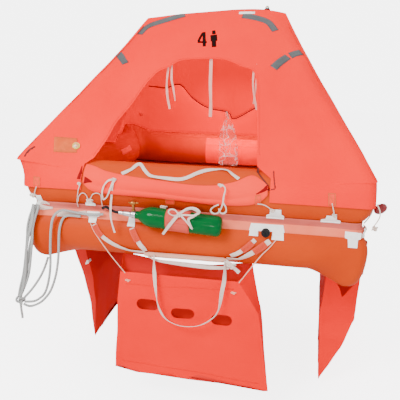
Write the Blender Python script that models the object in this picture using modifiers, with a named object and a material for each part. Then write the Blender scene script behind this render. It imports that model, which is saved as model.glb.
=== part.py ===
"""Inflatable life raft for four: two stacked square buoyancy tubes, an arch that carries a hip tent,
ballast pockets under every side, a gas cylinder and a boarding ladder at the entrance."""

import math

import bmesh
import bpy
from mathutils import Matrix, Vector

# Driving dimensions in metres. The entrance faces -Y, and z = 0 is the empty raft's waterline.
HALF_SIDE = 0.85
TUBE_RADIUS = 0.12
DRAUGHT = 0.035
SEAT = 0.0004
RIDGE_HEIGHT = 1.304
RIDGE_LEFT = 0.425
RIDGE_RIGHT = 0.40

# Heights that follow from them. A height is counted from the lowest line of the lower tube.
BOTTOM = -DRAUGHT
TUBE_LINE = HALF_SIDE - TUBE_RADIUS
LOWER_Z = BOTTOM + TUBE_RADIUS
SEAM_Z = BOTTOM + 2 * TUBE_RADIUS
UPPER_Z = BOTTOM + 3 * TUBE_RADIUS + SEAT
TUBE_TOP = UPPER_Z + TUBE_RADIUS

# The inflated corners stand out as ears, drawn out to a tip away from the other tube.
EAR_START = 0.64
EAR_IN = 0.045
EAR_SHIFT = 0.0475
EAR_ROUND = 0.05
# How far the tips rise or fall: front left, front right, rear right, rear left.
UPPER_RISES = (0.043, 0.024, 0.043, 0.043)
LOWER_RISES = (0.028, 0.058, 0.043, 0.043)
SECTION_POINTS = 24

# Fabric and webbing.
CANOPY_THICK = 0.005
CANOPY_CLEAR = 0.0009
POCKET_THICK = 0.004
WEB_THICK = 0.0025
FLAP_CLEAR = 0.0034

# Rows of the tent's skirt: angle up from the tube's outer middle in degrees, and how much further out the
# cloth stands at an ear. The panels meet the first row, and the hem is the last one.
SKIRT_ROWS = ((52, 0.038), (45, 0.0275), (30, 0.0105), (15, 0.0), (0, 0.0), (-5, 0.0))
EAR_CLEAR = 0.003
RIDGE_TOP_X = 0.20
LEFT_FALL = 0.061
RIGHT_FALL = 0.020
TENT_SHOULDER = 0.045
SHOULDER_DROP = 0.032
LEFT_END_DROP = 0.058
RIGHT_END_DROP = 0.080
# How much further out the tent's tips stand than in the rows, and how far the hips between them and the
# ridge
# are drawn in: front left, front right, rear right, rear left.
TIP_SHARES = (1.0, 0.35, 1.0, 1.0)
HIP_SAGS = (0.008, 0.006, 0.008, 0.008)
ARCH_RADIUS = 0.055
ARCH_CLEAR = 0.009
ARCH_FOOT = 0.70

# Colours: red, green, blue, then roughness and metallic value.
FINISHES = {
    "tube_orange": (0.75, 0.16, 0.04, 0.55, 0.0),
    "tent_salmon": (0.90, 0.16, 0.09, 0.70, 0.0),
    "pocket_red": (0.88, 0.13, 0.07, 0.75, 0.0),
    "floor_black": (0.03, 0.03, 0.03, 0.70, 0.0),
    "seam_tape": (0.75, 0.42, 0.36, 0.60, 0.0),
    "webbing_white": (0.75, 0.72, 0.68, 0.80, 0.0),
    "cord_pink": (0.85, 0.50, 0.38, 0.75, 0.0),
    "rope_grey": (0.55, 0.55, 0.53, 0.80, 0.0),
    "cylinder_green": (0.0, 0.21, 0.05, 0.25, 0.0),
    "head_silver": (0.60, 0.60, 0.60, 0.30, 1.0),
    "valve_brass": (0.50, 0.26, 0.07, 0.40, 1.0),
    "hose_black": (0.03, 0.03, 0.035, 0.50, 0.0),
    "cap_black": (0.015, 0.012, 0.012, 0.45, 0.0),
    "strap_salmon": (0.70, 0.10, 0.06, 0.75, 0.0),
    "strap_brown": (0.45, 0.10, 0.03, 0.75, 0.0),
    "lamp_yellow": (0.65, 0.62, 0.08, 0.30, 0.0),
    "quoit_red": (0.38, 0.01, 0.015, 0.50, 0.0),
    "bag_clear": (0.90, 0.55, 0.50, 0.20, 0.0),
}


def up(height):
    """World z of a height counted from the lowest line of the lower tube."""
    return BOTTOM + height


def clear_scene():
    for item in list(bpy.data.objects):
        bpy.data.objects.remove(item, do_unlink=True)


def new_collection(name):
    made = bpy.data.collections.new(name)
    bpy.context.scene.collection.children.link(made)
    return made


def finish(name):
    """The named finish as a material, made once."""
    found = bpy.data.materials.get(name)
    if found:
        return found
    red, green, blue, rough, metal = FINISHES[name]
    made = bpy.data.materials.new(name)
    made.use_nodes = True
    shader = made.node_tree.nodes["Principled BSDF"]
    shader.inputs["Base Color"].default_value = (red, green, blue, 1.0)
    shader.inputs["Roughness"].default_value = rough
    shader.inputs["Metallic"].default_value = metal
    made.diffuse_color = (red, green, blue, 1.0)
    return made


def place(name, mesh, finish_name, smooth=True):
    """A named part in the raft's collection."""
    item = bpy.data.objects.new(name, mesh)
    parts.objects.link(item)
    mesh.materials.clear()
    mesh.materials.append(finish(finish_name))
    if smooth:
        mesh.shade_smooth()
        mesh.set_sharp_from_angle(angle=math.radians(40))
    return item


def cutter(name, mesh):
    item = bpy.data.objects.new(name, mesh)
    cutters.objects.link(item)
    item.hide_render = True
    item.display_type = "WIRE"
    return item


def loft(name, sections, ring=False, caps=True):
    """A mesh between loops of equal point count. A ring joins the last loop to the first one."""
    work = bmesh.new()
    rows = [[work.verts.new(point) for point in section] for section in sections]
    pairs = list(zip(rows, rows[1:]))
    if ring:
        pairs.append((rows[-1], rows[0]))
    count = len(rows[0])
    for first, second in pairs:
        for i in range(count):
            j = (i + 1) % count
            work.faces.new((first[i], first[j], second[j], second[i]))
    if caps and not ring:
        work.faces.new(list(reversed(rows[0])))
        work.faces.new(rows[-1])
    bmesh.ops.recalc_face_normals(work, faces=work.faces)
    bmesh.ops.triangulate(work, faces=work.faces)
    mesh = bpy.data.meshes.new(name)
    work.to_mesh(mesh)
    work.free()
    return mesh


def sheet(name, rows):
    """An open grid of quads, to be given its thickness by Solidify."""
    work = bmesh.new()
    grid = [[work.verts.new(point) for point in row] for row in rows]
    for first, second in zip(grid, grid[1:]):
        for i in range(len(first) - 1):
            work.faces.new((first[i], first[i + 1], second[i + 1], second[i]))
    mesh = bpy.data.meshes.new(name)
    work.to_mesh(mesh)
    work.free()
    return mesh


def thicken(item, thickness, offset):
    solidify = item.modifiers.new("thickness", "SOLIDIFY")
    solidify.thickness = thickness
    solidify.offset = offset
    solidify.use_even_offset = False
    return item


def cut(item, tool):
    boolean = item.modifiers.new(tool.name, "BOOLEAN")
    boolean.operation = "DIFFERENCE"
    boolean.object = tool


def smooth_path(points, per_span=4):
    """Points on a smooth curve through the given ones (Catmull-Rom)."""
    knots = [Vector(point) for point in points]
    knots = [2 * knots[0] - knots[1]] + knots + [2 * knots[-1] - knots[-2]]
    path = []
    for before, start, end, after in zip(knots, knots[1:], knots[2:], knots[3:]):
        for step in range(per_span):
            t = step / per_span
            path.append(
                0.5
                * (
                    2 * start
                    + (end - before) * t
                    + (2 * before - 5 * start + 4 * end - after) * t * t
                    + (3 * start - before - 3 * end + after) * t**3
                )
            )
    path.append(knots[-2])
    return path


def round_bar(name, points, radius, finish_name, sides=2, per_span=4, smooth=True):
    """A cord, hose or tube: a curve with a round bevel and filled caps, made a mesh."""
    path = smooth_path(points, per_span) if smooth else [Vector(point) for point in points]
    curve = bpy.data.curves.new(name, "CURVE")
    curve.dimensions = "3D"
    curve.bevel_depth = radius
    curve.bevel_resolution = sides
    curve.use_fill_caps = True
    spline = curve.splines.new("POLY")
    spline.points.add(len(path) - 1)
    for knot, point in zip(spline.points, path):
        knot.co = (*point, 1.0)
    guide = bpy.data.objects.new(name + "_guide", curve)
    cutters.objects.link(guide)
    bpy.context.view_layer.update()
    evaluated = guide.evaluated_get(bpy.context.evaluated_depsgraph_get())
    mesh = bpy.data.meshes.new_from_object(evaluated)
    bpy.data.objects.remove(guide, do_unlink=True)
    work = bmesh.new()
    work.from_mesh(mesh)
    bmesh.ops.remove_doubles(work, verts=work.verts, dist=1e-6)
    bmesh.ops.recalc_face_normals(work, faces=work.faces)
    work.to_mesh(mesh)
    work.free()
    return place(name, mesh, finish_name)


def webbing(name, points, width, finish_name, facing, thickness=WEB_THICK, per_span=4):
    """Flat webbing along a smooth path. facing gives the direction that its face turns to at a point."""
    path = smooth_path(points, per_span)
    sections = []
    for i, point in enumerate(path):
        ahead = path[min(i + 1, len(path) - 1)] - path[max(i - 1, 0)]
        outward = facing(point)
        side = ahead.cross(outward).normalized() * width / 2
        lift = side.cross(ahead).normalized() * thickness / 2
        corners = ((-1, -1), (1, -1), (1, 1), (-1, 1))
        sections.append([point + side * s + lift * t for s, t in corners])
    return place(name, loft(name, sections), finish_name, smooth=False)


def face_front(point):
    return Vector((0, -1, 0))


def face_off_lower_tube(point):
    """Away from the centre line of the lower front tube."""
    return Vector((0, point.y + TUBE_LINE, point.z - LOWER_Z)).normalized()


def turned(name, profile, finish_name, start, direction, steps=24):
    """A turned solid: (radius, distance) pairs along an axis from start."""
    axis = Vector(direction).normalized()
    side = axis.orthogonal().normalized()
    other = axis.cross(side)
    sections = []
    for radius, distance in profile:
        centre = Vector(start) + axis * distance
        turns = [2 * math.pi * k / steps for k in range(steps)]
        sections.append([centre + (side * math.cos(t) + other * math.sin(t)) * radius for t in turns])
    return place(name, loft(name, sections), finish_name)


def block(name, low, high, finish_name=None):
    """A box between two corners. Without a finish it is a cutter."""
    work = bmesh.new()
    size = Vector(high) - Vector(low)
    middle = (Vector(high) + Vector(low)) / 2
    bmesh.ops.create_cube(work, size=1.0)
    bmesh.ops.transform(work, matrix=Matrix.LocRotScale(middle, None, size), verts=work.verts)
    mesh = bpy.data.meshes.new(name)
    work.to_mesh(mesh)
    work.free()
    return place(name, mesh, finish_name, smooth=False) if finish_name else cutter(name, mesh)


def outline_cutter(name, outline, near, far):
    """A prism through the XZ outline, between two places along Y."""
    sections = [[Vector((x, y, z)) for x, z in outline] for y in (near, far)]
    return cutter(name, loft(name, sections))


def ear(station):
    """How far a place along a side is into the corner's ear, from 0 to 1."""
    reach = abs(station) * (HALF_SIDE - EAR_ROUND)
    share = (reach - EAR_START) / (HALF_SIDE - EAR_ROUND - EAR_START)
    return max(0.0, share) ** 2


def front_spot(x):
    """The place along the entrance side that is at x."""
    return (0, max(-1.0, min(1.0, x / (HALF_SIDE - EAR_ROUND))), None)


def corner_of(place_on):
    """The corner that a place is next to: 0 front left, 1 front right, 2 rear right, 3 rear left."""
    side, station, _ = place_on
    return (side + (station > 0)) % 4


def section_shape(place_on, growing=False, rises=UPPER_RISES):
    """Centre distance, outer and inner half width and half height of a tube's section."""
    bulge = ear(place_on[1])
    inner = HALF_SIDE - 2 * TUBE_RADIUS + EAR_IN * bulge
    centre = (HALF_SIDE + inner) / 2
    half_height = TUBE_RADIUS
    if growing:
        centre += EAR_SHIFT * bulge
        half_height += rises[corner_of(place_on)] * bulge
    return centre, HALF_SIDE - centre, centre - inner, half_height


SIDE_STATIONS = (-1, -0.95, -0.88, -0.78, -0.6, -0.36, -0.12, 0.12, 0.36, 0.6, 0.78, 0.88, 0.95, 1)
CORNER_TURNS = (22.5, 45, 67.5)


def plan_point(side, station, turn, distance, rounding=EAR_ROUND):
    """A place on the rounded square at this distance from the centre. Side 0 is the entrance side."""
    straight = distance - rounding
    if turn is None:
        point = Vector((station * straight, -distance))
    else:
        angle = math.radians(turn)
        point = Vector((straight + rounding * math.sin(angle), -straight - rounding * math.cos(angle)))
    return point @ Matrix.Rotation(-side * math.pi / 2, 2)


def stations():
    """Every place round the square: side, station along it and corner turn."""
    found = []
    for side in range(4):
        found += [(side, station, None) for station in SIDE_STATIONS]
        found += [(side, 1, turn) for turn in CORNER_TURNS]
    return found


def tube_point(place_on, middle_z, angle, clear=0.0, grow_up=True, further=0.0):
    """A point on an inflated ring's skin, at an angle up from its outer middle."""
    across, rise = math.cos(angle), math.sin(angle)
    # The ears swell away from the seam between the two rings, and stay round towards it.
    rises = UPPER_RISES if grow_up else LOWER_RISES
    centre, outer, inner, half_height = section_shape(place_on, (rise > 0) == grow_up, rises)
    distance = centre + ((outer if across > 0 else inner) + clear) * across + further
    x, y = plan_point(*place_on, distance)
    return Vector((x, y, middle_z + (half_height + clear) * rise))


def inflated_ring(name, middle_z, grow_up):
    turns = [2 * math.pi * k / SECTION_POINTS for k in range(SECTION_POINTS)]
    sections = [[tube_point(spot, middle_z, t, 0.0, grow_up) for t in turns] for spot in stations()]
    return place(name, loft(name, sections, ring=True), "tube_orange")


def make_floor():
    """The floor sheet, a flat slab glued into the lower ring just above its lowest line."""
    low, high = up(0.030), up(0.042)
    sections = []
    for z in (low, high):
        reach = TUBE_LINE - math.sqrt(TUBE_RADIUS**2 - (LOWER_Z - z) ** 2) - 2 * SEAT
        spots = [spot for spot in stations()]
        sections.append([Vector((*plan_point(*spot, reach), z)) for spot in spots])
    return place("floor", loft("floor", sections), "floor_black", smooth=False)


def ridge_height(x):
    """Height of the tent's ridge: nearly level, falling towards its ends and more to the left."""
    if x < RIDGE_TOP_X:
        return RIDGE_HEIGHT - LEFT_FALL * ((RIDGE_TOP_X - x) / (RIDGE_TOP_X + RIDGE_LEFT)) ** 1.6
    return RIDGE_HEIGHT - RIGHT_FALL * ((x - RIDGE_TOP_X) / (RIDGE_RIGHT - RIDGE_TOP_X)) ** 2


def ridge_half(x):
    return RIDGE_LEFT if x < 0 else RIDGE_RIGHT


def shoulder_drop(x):
    """How far below the ridge the tent's shoulder is: more at the ridge's ends."""
    end_drop = LEFT_END_DROP if x < 0 else RIGHT_END_DROP
    return SHOULDER_DROP + (end_drop - SHOULDER_DROP) * abs(x / ridge_half(x)) ** 3


def side_panel_reach(height, side):
    """How far out the tent's side panel is at a height, in the plane of the arch. side is -1 or 1."""
    ridge_end = ridge_half(side)
    top_x, top = ridge_end + TENT_SHOULDER, ridge_height(side * ridge_end) - shoulder_drop(side * ridge_end)
    tent_angle = math.radians(SKIRT_ROWS[0][0])
    low_x = TUBE_LINE + TUBE_RADIUS * math.cos(tent_angle)
    low = UPPER_Z - BOTTOM + TUBE_RADIUS * math.sin(tent_angle)
    return top_x + (low_x - top_x) * (top - height) / (top - low)


ARCH_COVER = ARCH_RADIUS + CANOPY_THICK + ARCH_CLEAR


def make_arch():
    """The inflated arch that carries the tent, standing on the two side tubes."""
    foot = TUBE_TOP + SEAT

    def leg(side):
        points = [(ARCH_FOOT, foot - 0.04), (ARCH_FOOT, foot + 0.01)]
        lean = ARCH_COVER * 1.14
        points += [(side_panel_reach(height, side) - lean, up(height)) for height in (0.60, 0.76, 0.92,
                1.06)]
        return [(side * x, 0, z) for x, z in points]

    crown = []
    for x in (-0.36, -0.28, -0.14, 0, 0.13, 0.25, 0.33):
        lower = 0.7 * (shoulder_drop(x) - SHOULDER_DROP)
        crown.append((x, 0, up(ridge_height(x)) - ARCH_COVER - lower))
    path = leg(-1) + crown + list(reversed(leg(1)))
    arch = round_bar("arch_tube", path, ARCH_RADIUS, "tube_orange", sides=3, per_span=2)
    cut(arch, block("arch_foot_cutter", (-1, -0.2, foot - 0.2), (1, 0.2, foot)))
    return arch


def tent_rows():
    """Loops of the tent from the ridge to the hem, all with one point for each station."""
    spots = stations()
    rows = []
    # How far past the ridge's ends along X, half width along Y, share of the shoulder's drop.
    for past_end, half_y, drop_share in ((0.0, 0.024, 0.0), (TENT_SHOULDER, 0.064, 1.0)):
        row = []
        for spot in spots:
            x, y = plan_point(*spot, 1.0, 0.2)
            half_x = ridge_half(x)
            height = ridge_height(x * half_x) - drop_share * shoulder_drop(x * half_x)
            row.append(Vector((x * (half_x + past_end), y * half_y, up(height))))
        rows.append(row)

    def skirt_row(angle, ear_further):
        row = []
        for spot in spots:
            bulge = ear(spot[1])
            clear = CANOPY_CLEAR + CANOPY_THICK + EAR_CLEAR * math.sqrt(bulge)
            further = ear_further * bulge * TIP_SHARES[corner_of(spot)]
            row.append(tube_point(spot, UPPER_Z, math.radians(angle), clear, True, further))
        return row

    base = skirt_row(*SKIRT_ROWS[0])
    for step in range(1, 7):
        share = step / 7
        row = []
        for spot, top, end in zip(spots, rows[1], base):
            point = top.lerp(end, share)
            sag = HIP_SAGS[corner_of(spot)] * ear(spot[1]) * 6.75 * share * (1 - share) ** 2
            row.append(point - Vector((math.copysign(sag, point.x), math.copysign(sag, point.y), 0)))
        rows.append(row)
    rows.append(base)
    rows += [skirt_row(*row) for row in SKIRT_ROWS[1:]]
    return rows


def close_ridge(work, loop):
    """Roofs the ridge over: quads from the front edge to the rear one, and a face at each end."""
    run = len(SIDE_STATIONS)
    half_turn = len(loop) // 2
    front, rear = loop[:run], loop[half_turn : half_turn + run]
    for i in range(run - 1):
        work.faces.new((front[i], rear[run - 1 - i], rear[run - 2 - i], front[i + 1]))
    work.faces.new(loop[run - 1 : half_turn + 1])
    work.faces.new(loop[half_turn + run - 1 :] + loop[:1])


def make_canopy():
    rows = tent_rows()
    work = bmesh.new()
    grid = [[work.verts.new(point) for point in row] for row in rows]
    count = len(grid[0])
    for first, second in zip(grid, grid[1:]):
        for i in range(count):
            j = (i + 1) % count
            work.faces.new((first[i], first[j], second[j], second[i]))
    close_ridge(work, grid[0])
    bmesh.ops.recalc_face_normals(work, faces=work.faces)
    mesh = bpy.data.meshes.new("canopy")
    work.to_mesh(mesh)
    work.free()
    canopy = thicken(place("canopy", mesh, "tent_salmon"), CANOPY_THICK, -1)
    # Entrance outline on the front panel: x, height. The last four leave room for the door flap.
    entrance = [
        (-0.505, 0.50), (-0.464, 0.587), (-0.438, 0.663), (-0.381, 0.757), (-0.335, 0.853),
        (-0.281, 0.926), (-0.22, 0.957), (-0.17, 0.99), (-0.10, 1.002), (0.01, 1.007),
        (0.09, 1.003), (0.185, 0.968), (0.254, 0.932), (0.281, 0.754), (0.305, 0.50),
        (0.372, 0.455), (0.372, 0.25), (-0.545, 0.25), (-0.545, 0.47),
    ]
    cut(canopy, outline_cutter("entrance_cutter", [(x, up(h)) for x, h in entrance], -1.1, -0.15))
    return canopy


def front_skin(x, height):
    """Distance from the raft's middle to the skin of the front tubes near their seam."""
    centre, outer, _, _ = section_shape(front_spot(x))
    middle = TUBE_RADIUS if up(height) < SEAM_Z else UPPER_Z - BOTTOM
    rise = max(-1.0, min(1.0, (height - middle) / TUBE_RADIUS))
    return centre + outer * math.sqrt(1 - rise**2)


def front_tube_point(x, height, clear):
    """A point in front of the upper front tube, this far off its skin, at a height."""
    centre, outer, _, half_height = section_shape(front_spot(x), up(height) > UPPER_Z)
    rise = (up(height) - UPPER_Z) / (half_height + clear)
    return Vector((x, -centre - (outer + clear) * math.sqrt(1 - rise**2), up(height)))


def make_door_flap():
    """The door, let down over the front tube and tied at both its ends."""
    # x, height of the upper edge, height of the lower edge.
    table = (
        (-0.535, 0.468, 0.385), (-0.49, 0.462, 0.350), (-0.42, 0.443, 0.341), (-0.30, 0.428, 0.337),
        (-0.16, 0.418, 0.333), (-0.02, 0.408, 0.326), (0.10, 0.410, 0.320), (0.20, 0.430, 0.322),
        (0.28, 0.462, 0.331), (0.33, 0.445, 0.352), (0.362, 0.425, 0.385),
    )
    rows = []
    for x, top, low in table:
        shares = [k / 5 for k in range(6)]
        rows.append([front_tube_point(x, top + (low - top) * s, FLAP_CLEAR) for s in shares])
    flap = place("door_flap", sheet("door_flap", rows), "tent_salmon")
    return thicken(flap, CANOPY_THICK, 1)


# Levels of a pocket from its mouth to its foot, in the entrance side's place. Back and front are the walls
# next to the raft and away from it, left and right their ends, h heights and out distances from the middle.
# sag lowers the back wall's middle, swing moves the right end further out and drop lowers it.
POCKET_COLUMNS = (
    "back_left", "back_right", "front_left", "front_right", "back_h", "fold_h", "front_h",
    "back_out", "front_out", "sag", "swing", "drop",
)
POCKET_TOP_OUT = TUBE_LINE - POCKET_THICK / 2
# Name, side of the raft and levels.
POCKETS = (
    ("pocket_front", 0, (
        (-0.370, 0.312, -0.357, 0.250, 0.0, -0.050, -0.069, POCKET_TOP_OUT, 0.835, 0.032, 0.0, 0.0),
        (-0.374, 0.372, -0.374, 0.362, -0.225, -0.225, -0.225, 0.744, 0.829, 0.0, 0.0, 0.010),
        (-0.395, 0.435, -0.395, 0.435, -0.635, -0.635, -0.635, 0.795, 0.820, 0.0, 0.0, 0.045),
    )),
    ("pocket_right", 1, (
        (-0.450, 0.370, -0.450, 0.370, 0.0, -0.275, -0.150, POCKET_TOP_OUT, 0.908, 0.0, 0.070, 0.0),
        (-0.455, 0.370, -0.455, 0.370, -0.400, -0.400, -0.400, 0.704, 0.905, 0.0, 0.080, 0.0),
        (-0.455, 0.375, -0.455, 0.375, -0.585, -0.585, -0.585, 0.716, 0.846, 0.0, 0.085, 0.0),
        (-0.455, 0.375, -0.455, 0.375, -0.810, -0.810, -0.810, 0.722, 0.745, 0.0, 0.085, 0.0),
    )),
    ("pocket_rear", 2, (
        (-0.350, 0.350, -0.330, 0.330, 0.0, -0.050, -0.069, POCKET_TOP_OUT, 0.835, 0.032, 0.0, 0.0),
        (-0.355, 0.355, -0.350, 0.350, -0.225, -0.225, -0.225, 0.744, 0.829, 0.0, 0.0, 0.0),
        (-0.370, 0.370, -0.370, 0.370, -0.560, -0.560, -0.560, 0.790, 0.815, 0.0, 0.0, 0.0),
    )),
    ("pocket_left", 3, (
        (-0.400, 0.450, -0.400, 0.470, 0.0, -0.090, -0.030, POCKET_TOP_OUT, 0.790, 0.0, 0.0, 0.0),
        (-0.400, 0.465, -0.400, 0.470, -0.280, -0.280, -0.280, 0.640, 0.697, 0.0, 0.0, 0.0),
        (-0.400, 0.470, -0.400, 0.470, -0.660, -0.660, -0.660, 0.622, 0.652, 0.0, 0.0, 0.0),
    )),
)
# Water holes of the front pocket: x, height, half width, half height.
POCKET_HOLES = ((-0.215, -0.244, 0.058, 0.031), (-0.025, -0.272, 0.060, 0.028),
    (0.172, -0.290, 0.056, 0.031))
POCKET_HOLE_DEPTH = 0.79


def pocket_section(level, inset, lift):
    """Eight points round the bag at one level, moved in by the cloth's thickness for its inner side."""
    row = dict(zip(POCKET_COLUMNS, level))
    back, front = row["back_out"] + inset, row["front_out"] - inset
    ends = []
    for side, turn in (("left", 1), ("right", -1)):
        swing, drop = (row["swing"], row["drop"]) if side == "right" else (0.0, 0.0)
        back_x = row["back_" + side] + turn * inset
        front_x = row["front_" + side] + turn * inset
        corners = (
            (back_x, back + swing, row["back_h"]),
            ((back_x + front_x) / 2, (back + front) / 2 + swing, row["fold_h"]),
            (front_x, front + swing, row["front_h"]),
        )
        ends.append([Vector((x, -out, up(height) - SEAT - drop + lift)) for x, out, height in corners])
    left, right = ends
    sag = Vector((0, 0, -row["sag"]))
    middles = [right[0].lerp(left[0], share) + sag for share in (0.3, 0.7)]
    return left + list(reversed(right)) + middles


def pocket_mesh(name, levels):
    """A ballast pocket in the entrance side's place: an open-topped bag of flat panels."""
    outside = [pocket_section(level, 0.0, 0.0) for level in levels]
    inside = [pocket_section(level, POCKET_THICK, POCKET_THICK * (level is levels[-1])) for level in levels]
    return loft(name, list(reversed(inside)) + outside)


def stadium(x, height, half_width, half_height, points=10):
    """Outline of a hole with round ends, in X and Z."""
    outline = []
    for side, first in ((1, -90), (-1, 90)):
        for k in range(points // 2 + 1):
            angle = math.radians(first + 180 * k / (points // 2))
            centre = x + side * (half_width - half_height)
            outline.append((centre + half_height * math.cos(angle),
                    up(height) + half_height * math.sin(angle)))
    return outline


def make_pockets():
    for name, side, levels in POCKETS:
        mesh = pocket_mesh(name, levels)
        mesh.transform(Matrix.Rotation(side * math.pi / 2, 4, "Z"))
        pocket = place(name, mesh, "pocket_red", smooth=False)
        if side == 0:
            for number, hole in enumerate(POCKET_HOLES):
                tool = outline_cutter(f"pocket_hole_cutter_{number}", stadium(*hole), -1.2,
                    -POCKET_HOLE_DEPTH)
                cut(pocket, tool)


def band_distance(spot, height, clear):
    """Distance from the centre of the skin of the lower ring at a height, plus a clearance."""
    centre, outer, _, _ = section_shape(spot)
    rise = (up(height) - LOWER_Z) / TUBE_RADIUS
    return centre + outer * math.sqrt(1 - rise**2) + clear


BAND_LOW, BAND_HIGH, BAND_THICK = 0.197, 0.266, 0.003
PATCH_THICK = 0.004
PATCH_CLEAR = 0.0014
# Patches on the band: x, lowest and highest height, half width.
PATCHES = (
    (-0.498, 0.180, 0.232, 0.034), (-0.513, 0.262, 0.300, 0.026), (0.405, 0.262, 0.316, 0.042),
    (0.663, 0.262, 0.302, 0.045), (0.370, 0.168, 0.232, 0.085), (0.770, 0.157, 0.227, 0.037),
    (-0.776, 0.225, 0.305, 0.026), (-0.297, 0.176, 0.226, 0.020),
)


def make_seam_band():
    """The tape over the seam between the two rings, all round, with the patches that hold the lines."""
    inner_low = [band_distance(spot, BAND_LOW, SEAT) for spot in stations()]
    sections = []
    for spot, inner in zip(stations(), inner_low):
        corners = ((0, BAND_LOW), (BAND_THICK, BAND_LOW), (BAND_THICK, BAND_HIGH), (0, BAND_HIGH))
        sections.append([Vector((*plan_point(*spot, inner + out), up(height))) for out, height in corners])
    return place("seam_band", loft("seam_band", sections, ring=True), "seam_tape", smooth=False)


def make_patches():
    """Rubber patches that hold the lines: plates that follow the band and the skin beside it."""
    for number, (x, low, high, half) in enumerate(PATCHES, start=1):
        sections = []
        for step in range(7):
            height = low + (high - low) * step / 6
            edges = [x + side * half for side in (-1, 0, 1)]
            near = max(front_skin(edge, height) for edge in edges) + SEAT + 0.0007 * ear(front_spot(x)[1])
            if BAND_LOW - 0.012 < height < BAND_HIGH + 0.012:
                over_band = [band_distance(front_spot(edge), BAND_LOW, SEAT) for edge in edges]
                near = max([near] + [out + BAND_THICK + PATCH_CLEAR for out in over_band])
            corners = ((-half, near), (half, near), (half, near + PATCH_THICK), (-half, near + PATCH_THICK))
            sections.append([Vector((x + across, -out, up(height))) for across, out in corners])
        place(f"patch_{number}", loft(f"patch_{number}", sections), "webbing_white", smooth=False)


CYLINDER_RADIUS = 0.050
CYLINDER_LENGTH = 0.42
CYLINDER_TILT = math.radians(4.0)
CYLINDER_MIDDLE = (-0.050, -0.8792, 0.236)


def cylinder_axis():
    start = Vector((CYLINDER_MIDDLE[0], CYLINDER_MIDDLE[1], up(CYLINDER_MIDDLE[2])))
    direction = Vector((-math.cos(CYLINDER_TILT), 0, math.sin(CYLINDER_TILT)))
    return start, direction


def make_cylinder():
    """The gas cylinder with its head, hose and the strap that holds it against the band."""
    middle, axis = cylinder_axis()
    half = CYLINDER_LENGTH / 2
    r = CYLINDER_RADIUS
    profile = [(0.012, -half), (0.030, -half + 0.002), (0.044, -half + 0.010), (r, -half + 0.028)]
    profile += [(r, half - 0.085), (0.046, half - 0.060), (0.034, half - 0.032), (0.020, half - 0.010),
        (0.018, half)]
    turned("gas_cylinder", profile, "cylinder_green", middle, axis)
    start = middle + axis * (half + SEAT)
    head = [(0.016, 0.0), (0.019, 0.004), (0.019, 0.020), (0.013, 0.024), (0.013, 0.060), (0.009, 0.066),
        (0.009, 0.085)]
    turned("cylinder_head", head, "head_silver", start, axis, steps=16)
    turned(
        "firing_valve", [(0.010, 0.0), (0.010, 0.030), (0.017, 0.034), (0.017, 0.046), (0.006, 0.050)],
        "valve_brass",
        start + axis * 0.012 + Vector((0, 0, 0.0195 + SEAT)), (-0.05, 0, 1), steps=16,
    )
    hose_start = start + axis * (0.085 + 2 * SEAT)
    hose = [hose_start, hose_start + axis * 0.02, hose_start + Vector((-0.045, 0.012, 0.006)),
            hose_start + Vector((-0.075, 0.030, 0.014)), (hose_start.x - 0.10, -0.8322, up(0.258))]
    round_bar("inflation_hose", hose, 0.0065, "hose_black", sides=3, per_span=3)


def ring_strap(name, centre_share, width, finish_name, clear):
    """A strap round the cylinder at a share of its length."""
    middle, axis = cylinder_axis()
    centre = middle + axis * centre_share
    side = Vector((0, -1, 0))
    other = axis.cross(side)
    steps = 24
    sections = []
    for k in range(steps):
        angle = 2 * math.pi * k / steps
        outward = side * math.cos(angle) + other * math.sin(angle)
        inner = CYLINDER_RADIUS + clear
        corners = ((inner, -width / 2), (inner + 0.003, -width / 2), (inner + 0.003, width / 2),
            (inner, width / 2))
        sections.append([centre + outward * reach + axis * along for reach, along in corners])
    return place(name, loft(name, sections, ring=True), finish_name, smooth=False)


def skin(x, height, clear=0.0023):
    """A point in front of the lower tube, this far off its skin. Below the tube's line it hangs plumb."""
    centre, outer, _, _ = section_shape(front_spot(x))
    rise = (up(height) - LOWER_Z) / (TUBE_RADIUS + clear)
    return Vector((x, -centre - (outer + clear) * math.sqrt(max(0.0, 1 - rise**2)), up(height)))


RUNG_RADIUS = 0.011


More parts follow.
